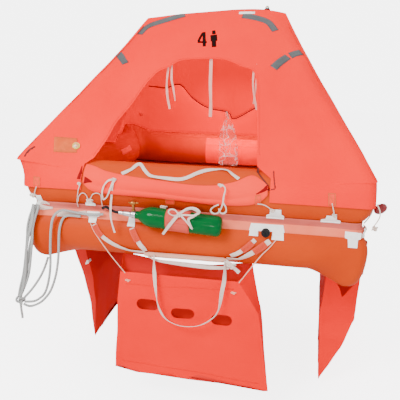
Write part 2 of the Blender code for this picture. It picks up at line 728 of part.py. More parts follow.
def make_ladder():
    """Boarding ladder: a rolled rung on the lower tube, its straps and the hanging step."""
    rung = [skin(x, height, RUNG_RADIUS + SEAT) for x,
        height in ((-0.225, 0.036), (-0.02, 0.038), (0.185, 0.040))]
    round_bar("ladder_rung", rung, RUNG_RADIUS, "webbing_white", sides=3, per_span=3)
    hang = min(knot.y for knot in rung) - RUNG_RADIUS - 0.0029
    # x, height and how far the step stands off from plumb under the rung's face.
    step = (
        (-0.172, 0.046, 0.0), (-0.172, 0.02, 0.0), (-0.170, -0.07, 0.0), (-0.158, -0.171, 0.002),
        (-0.142, -0.24, 0.003),
        (-0.105, -0.295, 0.004), (-0.03, -0.322, 0.005), (0.06, -0.312, 0.005), (0.125, -0.27, 0.004),
        (0.160, -0.215, 0.003), (0.172, -0.12, 0.002), (0.180, -0.06, 0.0), (0.182, 0.02, 0.0),
        (0.182, 0.050, 0.0),
    )
    route = [(x, hang - out, up(height)) for x, height, out in step]
    webbing("ladder_step", route, 0.020, "webbing_white", face_front, thickness=0.005, per_span=3)
    straps = (
        ("ladder_strap_left_outer", ((-0.486, 0.1740), (-0.452, 0.128), (-0.39, 0.082), (-0.32, 0.054),
                (-0.2290, 0.040))),
        ("ladder_strap_left_inner", ((-0.292, 0.1700), (-0.276, 0.14), (-0.252, 0.098), (-0.232, 0.070),
                (-0.225, 0.0525))),
        ("ladder_strap_right_inner", ((0.318, 0.1600), (0.285, 0.125), (0.246, 0.092), (0.205, 0.066))),
        ("ladder_strap_right_outer", ((0.388, 0.1600), (0.352, 0.13), (0.30, 0.088), (0.25, 0.058),
                (0.1875, 0.044))),
    )
    for name, stops in straps:
        route = smooth_path([(x, height, 0) for x, height in stops])
        path = [skin(stop.x, stop.y) for stop in route]
        webbing(name, path, 0.020, "webbing_white", face_off_lower_tube, per_span=1)


POCKET_FACE = -0.835


def make_lines():
    """Cords that hold up the pocket's mouth, from the patches over the tube to its front corners."""
    # Name, x and height of the points over the tube, then x, y and height of the free one and of the end.
    end_y = POCKET_FACE - 0.0029
    cords = (
        ("pocket_cord_left", ((-0.505, 0.1780), (-0.490, 0.152), (-0.472, 0.125)),
            (-0.405, -0.8515, 0.030), (-0.328, end_y, -0.074)),
        ("pocket_cord_right", ((0.416, 0.1660), (0.402, 0.147), (0.385, 0.125)), (0.345, -0.8505, 0.075),
            (0.252, end_y, -0.072)),
    )
    for name, on_tube, under, end in cords:
        path = [skin(x, height, 0.0036) for x, height in on_tube]
        path += [(under[0], under[1], up(under[2])), (end[0], end[1], up(end[2]))]
        round_bar(name, path, 0.0025, "cord_pink")


def face_off_upper_tube(point):
    """Away from the centre line of the upper front tube."""
    return Vector((0, point.y + TUBE_LINE, point.z - UPPER_Z)).normalized()


def flat_line(name, stops, width, finish_name="webbing_white", thickness=0.0015, facing=face_off_upper_tube):
    """Webbing or ribbon over the upper front tube: x, height and how far off the tube's skin."""
    route = smooth_path(stops, 3)
    path = [front_tube_point(stop.x, stop.y, stop.z) for stop in route]
    return webbing(name, path, width, finish_name, facing, thickness=thickness, per_span=1)


def make_front_lines():
    """Lines and ties on the upper front tube, the door flap and the hem."""
    boarding = (
        (-0.345, 0.436), (-0.309, 0.455), (-0.273, 0.476), (-0.234, 0.455), (-0.198, 0.435), (-0.129, 0.430),
        (-0.048, 0.430), (0.021, 0.456), (0.080, 0.472), (0.126, 0.477), (0.164, 0.474), (0.194, 0.460),
        (0.223, 0.446),
    )
    flat_line("boarding_line", [(x, height, 0.0013) for x, height in boarding], 0.013)
    # Without a y the ribbon lies on the flap.
    over_flap = 0.0108
    ribbon = (
        (-0.377, 0.150, -0.8800), (-0.388, 0.240, -0.8800), (-0.384, 0.290, -0.8798),
        (-0.380, 0.330, -0.8700),
        (-0.377, 0.365, None), (-0.376, 0.400, None), (-0.392, 0.424, None), (-0.416, 0.402, None),
        (-0.430, 0.362, None), (-0.425, 0.330, -0.8640), (-0.407, 0.330, -0.8640), (-0.401, 0.362, None),
    )
    path = []
    for x, height, y in ribbon:
        path.append((x, y, up(height)) if y else front_tube_point(x, height, over_flap))
    webbing("flap_ribbon", path, 0.012, "webbing_white", face_off_upper_tube, thickness=0.0015)
    ties = (
        ("canopy_tie_left", ((-0.772, 0.402, 0.0097), (-0.773, 0.372, 0.0097), (-0.772, 0.340, 0.0097),
                (-0.766, 0.309, 0.0075))),
        ("canopy_tie_right", ((0.648, 0.430, 0.0103), (0.651, 0.390, 0.0093), (0.656, 0.345, 0.0078),
                (0.664, 0.306, 0.006))),
    )
    for name, stops in ties:
        flat_line(name, stops, 0.010)
    lacing = (
        (-0.555, 0.410, 0.0094), (-0.554, 0.381, 0.0094), (-0.552, 0.351, 0.0094), (-0.561, 0.299, 0.006),
        (-0.553, 0.268, 0.006),
        (-0.541, 0.300, 0.008), (-0.527, 0.342, 0.0118), (-0.512, 0.330, 0.0120), (-0.497, 0.314, 0.0110),
        (-0.484, 0.330, 0.0120), (-0.471, 0.341, 0.0120), (-0.456, 0.326, 0.0118), (-0.446, 0.300, 0.0075),
        (-0.440, 0.272, 0.006),
    )
    path = [front_tube_point(x, height, clear) for x, height, clear in lacing]
    round_bar("hem_lacing", path, 0.0025, "webbing_white", per_span=3)
    bow = (
        (-0.113, 0.183), (-0.079, 0.237), (-0.036, 0.289), (0.014, 0.316), (0.052, 0.303), (0.030, 0.280),
        (0.006, 0.262), (0.022, 0.221),
    )
    bow_y = CYLINDER_MIDDLE[1] - CYLINDER_RADIUS - 0.003 - 2 * SEAT - 0.001
    webbing("cylinder_ribbon", [(x, bow_y, up(height)) for x, height in bow], 0.013, "webbing_white",
        face_front, thickness=0.0015)


def make_valve_cap():
    """Black cap of the inflation valve, on the wide patch."""
    profile = [(0.0205, 0.0), (0.0205, 0.010), (0.0185, 0.013), (0.0185, 0.019), (0.012, 0.022)]
    turned("valve_cap", profile, "cap_black", (0.365, -0.8404, up(0.198)), (0, -1, 0), steps=20)


CORNER_PATCH_LOW, CORNER_PATCH_HIGH = 0.199, 0.245


def make_right_corner():
    """The patch round the front right corner, the quoit on its cord and the webbing beside it."""
    sections = []
    spots = [(0, 1, 45), (0, 1, 56), (0, 1, 67.5), (1, -1, None), (1, -0.96, None)]
    for spot in spots:
        inner = band_distance(spot, BAND_LOW, SEAT) + BAND_THICK + SEAT
        low, high = CORNER_PATCH_LOW, CORNER_PATCH_HIGH
        corners = ((0, low), (PATCH_THICK, low), (PATCH_THICK, high), (0, high))
        sections.append([Vector((*plan_point(*spot, inner + out), up(height))) for out, height in corners])
    place("patch_9", loft("patch_9", sections), "webbing_white", smooth=False)
    # The cord starts on the tent's side, at the row 15 degrees up, and the quoit hangs beside it.
    hold = tent_rows()[11][stations().index((1, -0.88, None))]
    y = hold.y
    cord = (
        (hold.x + 0.0034, hold.z - BOTTOM), (0.8665, 0.372), (0.873, 0.340), (0.868, 0.300),
        (0.855, 0.268), (0.8365, 0.240),
    )
    round_bar("quoit_cord", [(x, y, up(height)) for x, height in cord], 0.003, "webbing_white")
    work = bmesh.new()
    bmesh.ops.create_uvsphere(work, u_segments=20, v_segments=12, radius=1.0)
    turn = Matrix.Rotation(math.radians(-34), 4, "Y")
    size = Matrix.Diagonal((0.033, 0.015, 0.0245, 1.0))
    bmesh.ops.transform(work, matrix=Matrix.Translation((0.9050, y, up(0.3185))) @ turn @ size,
        verts=work.verts)
    mesh = bpy.data.meshes.new("quoit")
    work.to_mesh(mesh)
    work.free()
    place("quoit", mesh, "quoit_red")
    path = [(0.8654, -0.60, up(height)) for height in (0.130, 0.070, 0.0, -0.050)]
    webbing("side_webbing", path, 0.030, "strap_brown", face_front, per_span=2)


def make_painter():
    """The painter, a long rope stowed in a bundle from the left corner's patch down to its knot."""
    y = -0.880
    # x, y, height and width down the bundle.
    strands = (
        (-0.788, -0.8490, 0.258, 0.034), (-0.796, -0.8530, 0.225, 0.038), (-0.803, -0.8590, 0.190, 0.040),
        (-0.809, -0.8690, 0.140, 0.040), (-0.814, -0.8760, 0.090, 0.040), (-0.824, y, 0.030, 0.038),
        (-0.844, y, -0.100, 0.036), (-0.868, y, -0.190, 0.032), (-0.8825, y, -0.2298, 0.022),
    )
    sections = []
    for x, depth, height, width in strands:
        turns = [2 * math.pi * k / 12 for k in range(12)]
        section = [Vector((x + width / 2 * math.cos(t), depth + 0.012 * math.sin(t),
                    up(height))) for t in turns]
        sections.append(section)
    place("painter_hank", loft("painter_hank", sections), "rope_grey")
    radius = 0.005
    outer = (
        (-0.440, -0.8316, 0.228), (-0.463, -0.8362, 0.225), (-0.500, -0.8375, 0.223),
        (-0.538, -0.8365, 0.223),
        (-0.600, -0.8335, 0.229), (-0.655, -0.842, 0.235), (-0.690, -0.858, 0.205), (-0.702, -0.870, 0.140),
        (-0.708, -0.874, 0.040), (-0.711, -0.876, -0.054), (-0.724, -0.878, -0.140),
        (-0.746, -0.880, -0.207),
        (-0.780, -0.880, -0.243), (-0.812, -0.880, -0.261), (-0.8565, -0.880, -0.2705),
    )
    inner = (
        (-0.560, -0.8310, 0.206), (-0.615, -0.8320, 0.208), (-0.645, -0.840, 0.198),
        (-0.659, -0.8535, 0.160), (-0.664, -0.8625, 0.110),
        (-0.669, -0.868, 0.001), (-0.684, -0.872, -0.100), (-0.713, -0.876, -0.187),
        (-0.740, -0.890, -0.230),
        (-0.775, -0.893, -0.262), (-0.824, -0.893, -0.2835), (-0.8605, -0.884, -0.2825),
    )
    under = (
        (-0.752, -0.813, -0.0335), (-0.757, -0.826, -0.062), (-0.765, -0.842, -0.095),
        (-0.780, -0.852, -0.130),
        (-0.800, -0.862, -0.165), (-0.826, -0.872, -0.203), (-0.8592, -0.880, -0.2452),
    )
    for name, stops in (("painter_loop_outer", outer), ("painter_loop_inner", inner),
        ("painter_loop_under", under)):
        round_bar(name, [(x, depth, up(height)) for x, depth, height in stops], radius, "rope_grey",
            per_span=3)
    work = bmesh.new()
    bmesh.ops.create_uvsphere(work, u_segments=16, v_segments=10, radius=1.0)
    size = Matrix.Diagonal((0.027, 0.022, 0.032, 1.0))
    bmesh.ops.transform(work, matrix=Matrix.Translation((-0.884, y, up(-0.2625))) @ size, verts=work.verts)
    mesh = bpy.data.meshes.new("painter_knot")
    work.to_mesh(mesh)
    work.free()
    place("painter_knot", mesh, "rope_grey")
    tail = ((-0.884, y, -0.2950), (-0.882, y, -0.330), (-0.879, y, -0.362))
    round_bar("painter_tail", [(x, depth, up(height)) for x, depth, height in tail], radius, "rope_grey")


def tent_inside(x, y):
    """Height of the front panel's inner side over a place, measured from the shoulder to the tube."""
    angle = math.radians(SKIRT_ROWS[0][0])
    reach = TUBE_RADIUS + CANOPY_CLEAR + CANOPY_THICK
    low_y, low = TUBE_LINE + reach * math.cos(angle), UPPER_Z - BOTTOM + reach * math.sin(angle)
    # The panel narrows towards the ridge, so its upper edge is met nearer to the middle.
    top_x = 0.74 * x
    high_y, high = 0.064, ridge_height(top_x) - shoulder_drop(top_x)
    slope = (high - low) / (low_y - high_y)
    return low + (low_y - abs(y)) * slope - CANOPY_THICK * math.sqrt(1 + slope**2)


def make_inside():
    """What hangs in the tent: the inner curtain, ribbons, the clear kit bag and a pocket on the rear
    tube."""
    curtain_y = -ARCH_RADIUS - SEAT
    # x and height of the curtain's lower edge. Left of the crown its upper edge comes down.
    lower_edge = (
        (-0.408, 0.843), (-0.360, 0.840), (-0.296, 0.837), (-0.231, 0.860), (-0.191, 0.846),
        (-0.128, 0.780), (-0.034, 0.727),
        (0.093, 0.703), (0.132, 0.665), (0.251, 0.733), (0.300, 0.750),
    )
    sections = []
    for x, height in lower_edge:
        top = up(ridge_height(x)) - ARCH_COVER - (0.07 if x < -0.4 else 0.0)
        corners = ((curtain_y - 0.002, up(height)), (curtain_y, up(height)), (curtain_y, top),
            (curtain_y - 0.002, top))
        sections.append([Vector((x, y, z)) for y, z in corners])
    place("inner_curtain", loft("inner_curtain", sections), "tent_salmon", smooth=False)
    # Name, x at the top and at the end, y, and height of the end.
    ribbons = (
        ("inner_ribbon_left", -0.240, -0.228, -0.3192, 0.725),
        ("inner_ribbon_middle", 0.004, 0.010, -0.284, 0.675),
        ("inner_ribbon_right", 0.250, 0.252, -0.320, 0.738),
    )
    for name, top_x, low_x, y, low in ribbons:
        top = tent_inside(top_x, y - 0.001) - 2 * SEAT
        path = [Vector((top_x + (low_x - top_x) * share, y,
                    up(top + (low - top) * share))) for share in (0, 0.5, 1)]
        webbing(name, path, 0.014, "webbing_white", face_front, thickness=0.0015, per_span=2)
    # Height, middle x, half width and half depth of the bag.
    bag = (
        (0.7026, 0.086, 0.006, 0.004), (0.672, 0.094, 0.010, 0.008), (0.620, 0.098, 0.036, 0.016),
        (0.540, 0.101, 0.056, 0.020),
        (0.440, 0.106, 0.062, 0.020), (0.390, 0.110, 0.060, 0.014), (0.378, 0.111, 0.050, 0.006),
    )
    bag_y = curtain_y - 0.001
    sections = []
    for height, x, half_x, half_y in bag:
        turns = [2 * math.pi * k / 16 for k in range(16)]
        sections.append([Vector((x + half_x * math.cos(t), bag_y + half_y * math.sin(t),
                        up(height))) for t in turns])
    place("kit_bag", loft("kit_bag", sections), "bag_clear")
    sections = []
    for step in range(9):
        angle = math.radians(-54 + 13 * step)
        near, far = TUBE_RADIUS + 2 * SEAT, TUBE_RADIUS + 2 * SEAT + 0.003
        corners = ((-0.124, near), (0.290, near), (0.290, far), (-0.124, far))
        sections.append(
            [Vector((x, TUBE_LINE - reach * math.cos(angle), UPPER_Z + reach * math.sin(angle))) for x,
                reach in corners]
        )
    place("wall_pocket", loft("wall_pocket", sections), "tent_salmon", smooth=False)


def make_lamps():
    """The lamp on the ridge and the small one on the front panel's left."""
    x = 0.290
    profile = [(0.016, 0.0), (0.016, 0.008), (0.011, 0.011), (0.011, 0.022), (0.006, 0.027)]
    turned("top_lamp", profile, "cap_black", (x, 0, up(ridge_height(x - 0.012)) + SEAT), (0, 0, 1), steps=20)
    rows = tent_rows()
    station = SIDE_STATIONS.index(-0.88)
    # The small lamp's place between the tent's last panel row and its base row, and between two stations.
    down, beside = 0.3, 0.2
    near = rows[7][station].lerp(rows[8][station], down)
    next_one = rows[7][station + 1].lerp(rows[8][station + 1], down)
    outward = (next_one - near).cross(rows[8][station] - rows[7][station]).normalized()
    spot = near.lerp(next_one, beside)
    if outward.y > 0:
        outward = -outward
    profile = [(0.019, 0.0), (0.019, 0.006), (0.014, 0.010), (0.013, 0.018), (0.007, 0.023)]
    turned("side_lamp", profile, "lamp_yellow", spot + outward * 0.0012, outward, steps=20)


def build():
    inflated_ring("lower_tube", LOWER_Z, False)
    inflated_ring("upper_tube", UPPER_Z, True)
    make_floor()
    make_arch()
    make_canopy()
    make_door_flap()
    make_pockets()
    make_seam_band()
    make_patches()
    make_cylinder()
    ring_strap("cylinder_strap", 0.0, 0.105, "strap_salmon", SEAT)
    make_ladder()
    make_lines()
    make_front_lines()
    make_valve_cap()
    make_right_corner()
    make_painter()
    make_inside()
    make_lamps()


clear_scene()
parts = new_collection("life_raft")
cutters = new_collection("life_raft_cutters")
build()
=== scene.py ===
# %% [markdown]
# # An inflatable life raft, dressed
# The raft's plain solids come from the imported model. This lesson covers them with tubes of rubber,
# a tent of coated cloth, webbing, ropes and metal. Each cell makes one piece or one finish and prints
# what it made.

# %% Load the frame
from math import atan2, copysign, cos, exp, hypot, pi, radians, sin, sqrt

import bmesh
import bpy
from mathutils import Matrix, Vector, noise
from mathutils.bvhtree import BVHTree


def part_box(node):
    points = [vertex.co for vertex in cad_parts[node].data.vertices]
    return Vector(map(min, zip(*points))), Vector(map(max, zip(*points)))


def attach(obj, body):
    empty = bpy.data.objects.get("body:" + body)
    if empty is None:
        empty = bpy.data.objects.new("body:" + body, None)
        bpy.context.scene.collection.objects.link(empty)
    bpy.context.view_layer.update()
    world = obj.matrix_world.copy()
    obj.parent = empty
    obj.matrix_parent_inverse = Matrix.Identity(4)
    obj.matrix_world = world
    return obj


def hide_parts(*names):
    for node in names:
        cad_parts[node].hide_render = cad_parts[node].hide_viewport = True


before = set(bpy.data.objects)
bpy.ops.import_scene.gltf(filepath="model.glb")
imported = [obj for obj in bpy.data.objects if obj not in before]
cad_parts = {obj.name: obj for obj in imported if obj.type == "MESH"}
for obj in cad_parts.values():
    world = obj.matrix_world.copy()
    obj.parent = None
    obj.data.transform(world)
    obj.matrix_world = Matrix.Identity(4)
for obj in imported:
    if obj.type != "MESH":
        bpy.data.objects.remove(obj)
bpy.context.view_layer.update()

# %% [markdown]
# ## Shared measures
# A real raft is drawn from few numbers: the size of its square, the tubes' radius and the heights of
# their middles. Heights are counted from the lowest line of the lower tube, as a builder would with
# the raft on a floor, so one small function turns a height into a place above the waterline.

# %% Measures
DRAUGHT = 0.035
HALF_SIDE = 0.85
TUBE_RADIUS = 0.12
TUBE_LINE = HALF_SIDE - TUBE_RADIUS
LOWER_Z = TUBE_RADIUS - DRAUGHT
UPPER_Z = 3 * TUBE_RADIUS - DRAUGHT + 0.0004
SEAM_Z = 2 * TUBE_RADIUS - DRAUGHT


def up(height):
    return height - DRAUGHT


def paint(red, green, blue):
    """A linear colour, as the shader takes it."""
    return (red, green, blue, 1.0)


print("tube middles at", LOWER_Z, UPPER_Z)

# %% [markdown]
# ## Camera and floor
# The photograph looks down a little on the entrance, from just right of it. The raft isn't afloat in
# it, and its pockets hang below the tubes, so the floor lies under the lowest pocket.

# %% Camera and floor
FRAME_PIXELS, LENS_PIXELS = 400, 480
CAMERA_AT, YAW, PITCH, ROLL = (0.3485, -3.044, 0.862), 0.137, 0.247, 0.034


def linked(name, data):
    """A new object in the scene."""
    item = bpy.data.objects.new(name, data)
    bpy.context.scene.collection.objects.link(item)
    return item


data = bpy.data.cameras.new("camera")
data.lens, data.sensor_width = 43.2, 36.0
camera = linked("camera", data)
ahead = Vector((-sin(YAW) * cos(PITCH), cos(YAW) * cos(PITCH), -sin(PITCH)))
level = ahead.cross(Vector((0, 0, 1))).normalized()
upright = level.cross(ahead)
right = level * cos(ROLL) + upright * sin(ROLL)
upright = right.cross(ahead)
turn = Matrix((right, upright, -ahead)).transposed().to_4x4()
camera.matrix_world = Matrix.Translation(CAMERA_AT) @ turn
bpy.context.scene.camera = camera

FLOOR_Z, SEEN_GLOW, SKY_GLOW = -0.895, 4.5, 1.1
WHITE = (1.0, 1.0, 1.0, 1.0)
bpy.ops.object.select_all(action="DESELECT")
bpy.ops.mesh.primitive_plane_add(size=60, location=(0, 0, FLOOR_Z))
floor = bpy.context.object
floor.name = "studio_floor"
floor_paint = bpy.data.materials.new("studio_floor")
floor_paint.use_nodes = True
floor_shader = floor_paint.node_tree.nodes["Principled BSDF"]
for label, value in (("Base Color", paint(0.9, 0.9, 0.9)), ("Roughness", 0.9), ("Emission Color", WHITE)):
    floor_shader.inputs[label].default_value = value
floor.data.materials.append(floor_paint)
world = bpy.data.worlds.new("studio")
bpy.context.scene.world = world
world.use_nodes = True
sky = world.node_tree.nodes["Background"]
sky.inputs["Color"].default_value = WHITE


def glow(tree, socket, base):
    """Looks white to the camera, and sheds no more light for that."""
    seen, strength = tree.nodes.new("ShaderNodeLightPath"), tree.nodes.new("ShaderNodeMath")
    strength.operation = "MULTIPLY_ADD"
    strength.inputs[1].default_value, strength.inputs[2].default_value = SEEN_GLOW, base
    tree.links.new(seen.outputs["Is Camera Ray"], strength.inputs[0])
    tree.links.new(strength.outputs[0], socket)


glow(floor_paint.node_tree, floor_shader.inputs["Emission Strength"], 0.0)
glow(world.node_tree, sky.inputs["Strength"], SKY_GLOW)


def soft_light(name, place, target, size, power, tint=(1, 1, 1), height=None):
    lamp = bpy.data.lights.new(name, "AREA")
    lamp.shape, lamp.size, lamp.energy, lamp.color = "DISK", size, power, tint
    if height:
        lamp.shape, lamp.size_y = "RECTANGLE", height
    item = linked(name, lamp)
    aim = (Vector(target) - Vector(place)).to_track_quat("-Z", "Y").to_matrix().to_4x4()
    item.matrix_world = Matrix.Translation(place) @ aim


soft_light("key_light", (-2.0, -4.0, 3.2), (0, 0, 0.3), 2.0, 262)
soft_light("fill_light", (3.6, -3.0, 1.8), (0, 0, 0.2), 3.0, 55)
soft_light("top_light", (0, 1.0, 4.6), (0, 0, 0), 4.0, 60)
soft_light("small_light", (0.1, -3.3, 0.66), (0, -0.8, 0.2), 0.07, 14)
soft_light("gloss_light", (-0.45, -2.59, 1.74), (-0.05, -0.88, 0.2), 0.8, 6, height=0.03)
print("camera at", [round(v, 3) for v in camera.location])

# %% [markdown]
# ## Finishes: shared groups
# Cloth, rubber and webbing share small effects: colour that has faded in patches, a fine weave, soft
# creases and specks of dust. Each effect is built once as a node group, and every material gives it
# its own colours and sizes.

# %% Group helpers
def new_group(name, ins, outs):
    tree = bpy.data.node_groups.new(name, "ShaderNodeTree")
    for label, kind, value in ins:
        socket = tree.interface.new_socket(name=label, in_out="INPUT", socket_type="NodeSocket" + kind)
        socket.default_value = value
    for label, kind in outs:
        tree.interface.new_socket(name=label, in_out="OUTPUT", socket_type="NodeSocket" + kind)
    return tree, tree.nodes.new("NodeGroupInput"), tree.nodes.new("NodeGroupOutput")


def add(tree, kind, **settings):
    """A node with its settings, and with values or links for its inputs by name or number."""
    node = tree.nodes.new("ShaderNode" + kind)
    links = settings.pop("links", {})
    for key, value in settings.items():
        setattr(node, key, value)
    for key, value in links.items():
        socket = node.inputs[key]
        if isinstance(value, bpy.types.NodeSocket):
            tree.links.new(value, socket)
        else:
            socket.default_value = value
    return node


def waves(tree, value, size):
    """A sine along a value, one wave to each size."""
    turns = math_node(tree, "DIVIDE", value, size)
    return math_node(tree, "SINE", math_node(tree, "MULTIPLY", turns, 2 * pi))


def emboss(tree, shader, height, strength, distance):
    relief = add(tree, "Bump", links={"Height": height, "Strength": strength, "Distance": distance})
    tree.links.new(relief.outputs[0], shader.inputs["Normal"])


def math_node(tree, operation, first, second=0.0, third=0.0, clamp=False):
    return add(tree, "Math", operation=operation, use_clamp=clamp, links={0: first, 1: second, 2: third}).outputs[0]


def mix_colour(tree, share, first, second):
    node = add(tree, "Mix", data_type="RGBA", blend_type="MIX")
    for socket, value in ((node.inputs[0], share), (node.inputs[6], first), (node.inputs[7], second)):
        if isinstance(value, bpy.types.NodeSocket):
            tree.links.new(value, socket)
        else:
            socket.default_value = value
    return node.outputs[2]


# %% Faded colour
faded_tree, faded_in, faded_out = new_group(
    "faded_colour",
    [("Fresh", "Color", (1, 0, 0, 1)), ("Faded", "Color", (1, 0.5, 0.5, 1)), ("Dust", "Color", (0.5, 0.4, 0.3, 1)),
     ("Patch Size", "Float", 2.0), ("Dust Amount", "Float", 0.2)],
    [("Colour", "Color"), ("Roughness", "Float")],
)
coords = add(faded_tree, "TexCoord").outputs["Object"]
patches = add(
    faded_tree, "TexNoise", links={"Vector": coords, "Scale": faded_in.outputs["Patch Size"], "Detail": 4.0,
    "Roughness": 0.55}
)
specks = add(faded_tree, "TexNoise", links={"Vector": coords, "Scale": 26.0, "Detail": 6.0, "Roughness": 0.7})
patch_share = add(faded_tree, "MapRange", links={0: patches.outputs[0], 1: 0.35, 2: 0.7}).outputs[0]
speck_share = add(faded_tree, "MapRange", links={0: specks.outputs[0], 1: 0.52, 2: 0.75}).outputs[0]
colour = mix_colour(faded_tree, patch_share, faded_in.outputs["Fresh"], faded_in.outputs["Faded"])
dusty = math_node(faded_tree, "MULTIPLY", speck_share, faded_in.outputs["Dust Amount"])
colour = mix_colour(faded_tree, dusty, colour, faded_in.outputs["Dust"])
faded_tree.links.new(colour, faded_out.inputs["Colour"])
rough = math_node(faded_tree, "MULTIPLY_ADD", speck_share, 0.12, patch_share)
faded_tree.links.new(rough, faded_out.inputs["Roughness"])

# %% Fine weave
weave_tree, weave_in, weave_out = new_group(
    "fine_weave", [("Thread", "Float", 0.0012), ("Crease Size", "Float", 9.0), ("Crease Depth", "Float", 1.0)],
    [("Height", "Float")],
)
coords = add(weave_tree, "TexCoord").outputs["Object"]
apart = add(weave_tree, "SeparateXYZ", links={0: coords})
threads = None
for axis in range(3):
    wave = waves(weave_tree, apart.outputs[axis], weave_in.outputs["Thread"])
    threads = wave if threads is None else math_node(weave_tree, "ADD", threads, wave)
creases = add(
    weave_tree, "TexNoise", links={"Vector": coords, "Scale": weave_in.outputs["Crease Size"], "Detail": 5.0,
    "Roughness": 0.5, "Distortion": 0.6}
)
deep = math_node(weave_tree, "MULTIPLY", creases.outputs[0], weave_in.outputs["Crease Depth"])
height = math_node(weave_tree, "MULTIPLY_ADD", threads, 0.006, deep)
weave_tree.links.new(height, weave_out.inputs["Height"])

# %% Ribbed webbing
# The map of a strap runs across it and along it, in metres, so ribs follow the strap round its bends.
rib_tree, rib_in, rib_out = new_group(
    "ribbed_webbing", [("Rib", "Float", 0.0022), ("Row", "Float", 0.003), ("Twist", "Float", 0.0)],
    [("Height", "Float"), ("Shadow", "Float")],
)
place = add(rib_tree, "UVMap", uv_map="UVMap").outputs[0]
apart = add(rib_tree, "SeparateXYZ", links={0: place})
slant = math_node(rib_tree, "MULTIPLY_ADD", apart.outputs[1], rib_in.outputs["Twist"], apart.outputs[0])
first = waves(rib_tree, slant, rib_in.outputs["Rib"])
second = waves(rib_tree, apart.outputs[1], rib_in.outputs["Row"])
height = math_node(rib_tree, "MULTIPLY_ADD", second, 0.5, first)
rib_tree.links.new(height, rib_out.inputs["Height"])
rib_tree.links.new(math_node(rib_tree, "MULTIPLY_ADD", height, -0.25, 0.4, clamp=True), rib_out.inputs["Shadow"])
print("groups:", [group.name for group in bpy.data.node_groups])

# %% Material makers
def begin(name, rough=0.6, metal=0.0, specular=0.5):
    made = bpy.data.materials.new(name)
    made.use_nodes = True
    tree = made.node_tree
    shader = tree.nodes["Principled BSDF"]
    shader.inputs["Roughness"].default_value = rough
    shader.inputs["Metallic"].default_value = metal
    shader.inputs["Specular IOR Level"].default_value = specular
    return made, tree, shader


def place_group(tree, group, **values):
    node = tree.nodes.new("ShaderNodeGroup")
    node.node_tree = group
    for label, value in values.items():
        node.inputs[label.replace("_", " ")].default_value = value
    return node


def cloth_finish(
    name, fresh, faded, dust, rough=0.62, dust_amount=0.15, patch=1.6, thread=0.0012, crease=9.0, deep=1.0,
    bump=0.25, glow=0.0, glow_colour=None, specular=0.15
):
    made, tree, shader = begin(name, rough, 0.0, specular)
    colours = place_group(
        tree, faded_tree, Fresh=fresh, Faded=faded, Dust=dust, Patch_Size=patch, Dust_Amount=dust_amount
    )
    weave = place_group(tree, weave_tree, Thread=thread, Crease_Size=crease, Crease_Depth=deep)
    tree.links.new(colours.outputs["Colour"], shader.inputs["Base Color"])
    rough_value = add(
        tree, "MapRange", links={0: colours.outputs["Roughness"], 1: 0.0, 2: 1.1, 3: rough - 0.07, 4: rough + 0.09}
    )
    tree.links.new(rough_value.outputs[0], shader.inputs["Roughness"])
    emboss(tree, shader, weave.outputs["Height"], bump, 0.01)
    if glow:
        shader.inputs["Emission Color"].default_value = glow_colour
        shader.inputs["Emission Strength"].default_value = glow
    return made


def webbing_finish(name, bright, dark, rib=0.0022, row=0.003, twist=0.0, bump=0.35):
    made, tree, shader = begin(name, 0.75)
    ribs = place_group(tree, rib_tree, Rib=rib, Row=row, Twist=twist)
    colours = place_group(
        tree, faded_tree, Fresh=bright, Faded=tuple(v * 0.9 for v in bright[:3]) + (1,), Dust=dark, Patch_Size=9.0,
        Dust_Amount=0.3
    )
    tree.links.new(
        mix_colour(tree, ribs.outputs["Shadow"], colours.outputs["Colour"], dark), shader.inputs["Base Color"]
    )
    emboss(tree, shader, ribs.outputs["Height"], bump, 0.0006)
    return made


# %% Finishes of this raft
tent_cloth = cloth_finish(
    "tent_cloth", paint(0.9, 0.002, 0.0005), paint(0.97, 0.014, 0.005), paint(0.78, 0.008, 0.002), rough=0.6,
    patch=2.2, bump=0.5, specular=0.05
)
# The lining glows red: painted light for the daylight that comes through the cloth.
lining_painted_glow = cloth_finish(
    "lining_painted_glow", paint(0.8, 0.002, 0.001), paint(0.85, 0.004, 0.002), paint(0.65, 0.004, 0.002), rough=0.7,
    bump=0.22, glow=0.55, glow_colour=paint(1.0, 0.002, 0.001), specular=0.03
)
flap_cloth = cloth_finish(
    "flap_cloth", paint(0.95, 0.016, 0.006), paint(1.0, 0.04, 0.018), paint(0.85, 0.03, 0.014), rough=0.58,
    bump=0.25, specular=0.06
)
pocket_cloth = cloth_finish(
    "pocket_cloth", paint(0.84, 0.002, 0.0005), paint(0.9, 0.007, 0.002), paint(0.68, 0.006, 0.002), rough=0.66,
    crease=7.0, bump=0.3, specular=0.05
)
# The pockets' inner side: darker than the outer cloth as painted shade, with a faint red glow as painted light.
pocket_painted_shade = cloth_finish(
    "pocket_painted_shade", paint(0.52, 0.008, 0.006), paint(0.6, 0.012, 0.008), paint(0.42, 0.008, 0.006), rough=0.7,
    crease=7.0, bump=0.3, glow=0.16, glow_colour=paint(1.0, 0.02, 0.012)
)
tube_rubber = cloth_finish(
    "tube_rubber", paint(0.47, 0.036, 0.0005), paint(0.54, 0.05, 0.001), paint(0.38, 0.03, 0.002), rough=0.45,
    patch=2.4, thread=0.0009, crease=5.0, deep=0.8, bump=0.25, specular=0.06
)
seam_tape = cloth_finish(
    "seam_tape", paint(0.8, 0.125, 0.055), paint(0.86, 0.18, 0.095), paint(0.6, 0.08, 0.035), rough=0.55, patch=5.0,
    crease=14.0, bump=0.25, specular=0.3
)
patch_rubber = cloth_finish(
    "patch_rubber", paint(0.94, 0.92, 0.88), paint(0.86, 0.84, 0.8), paint(0.58, 0.52, 0.46), rough=0.6, patch=12.0,
    dust_amount=0.35, crease=22.0, bump=0.3, specular=0.3
)
floor_rubber = cloth_finish(
    "floor_rubber", paint(0.02, 0.02, 0.022), paint(0.032, 0.031, 0.031), paint(0.1, 0.09, 0.08), rough=0.7,
    dust_amount=0.35, specular=0.3
)
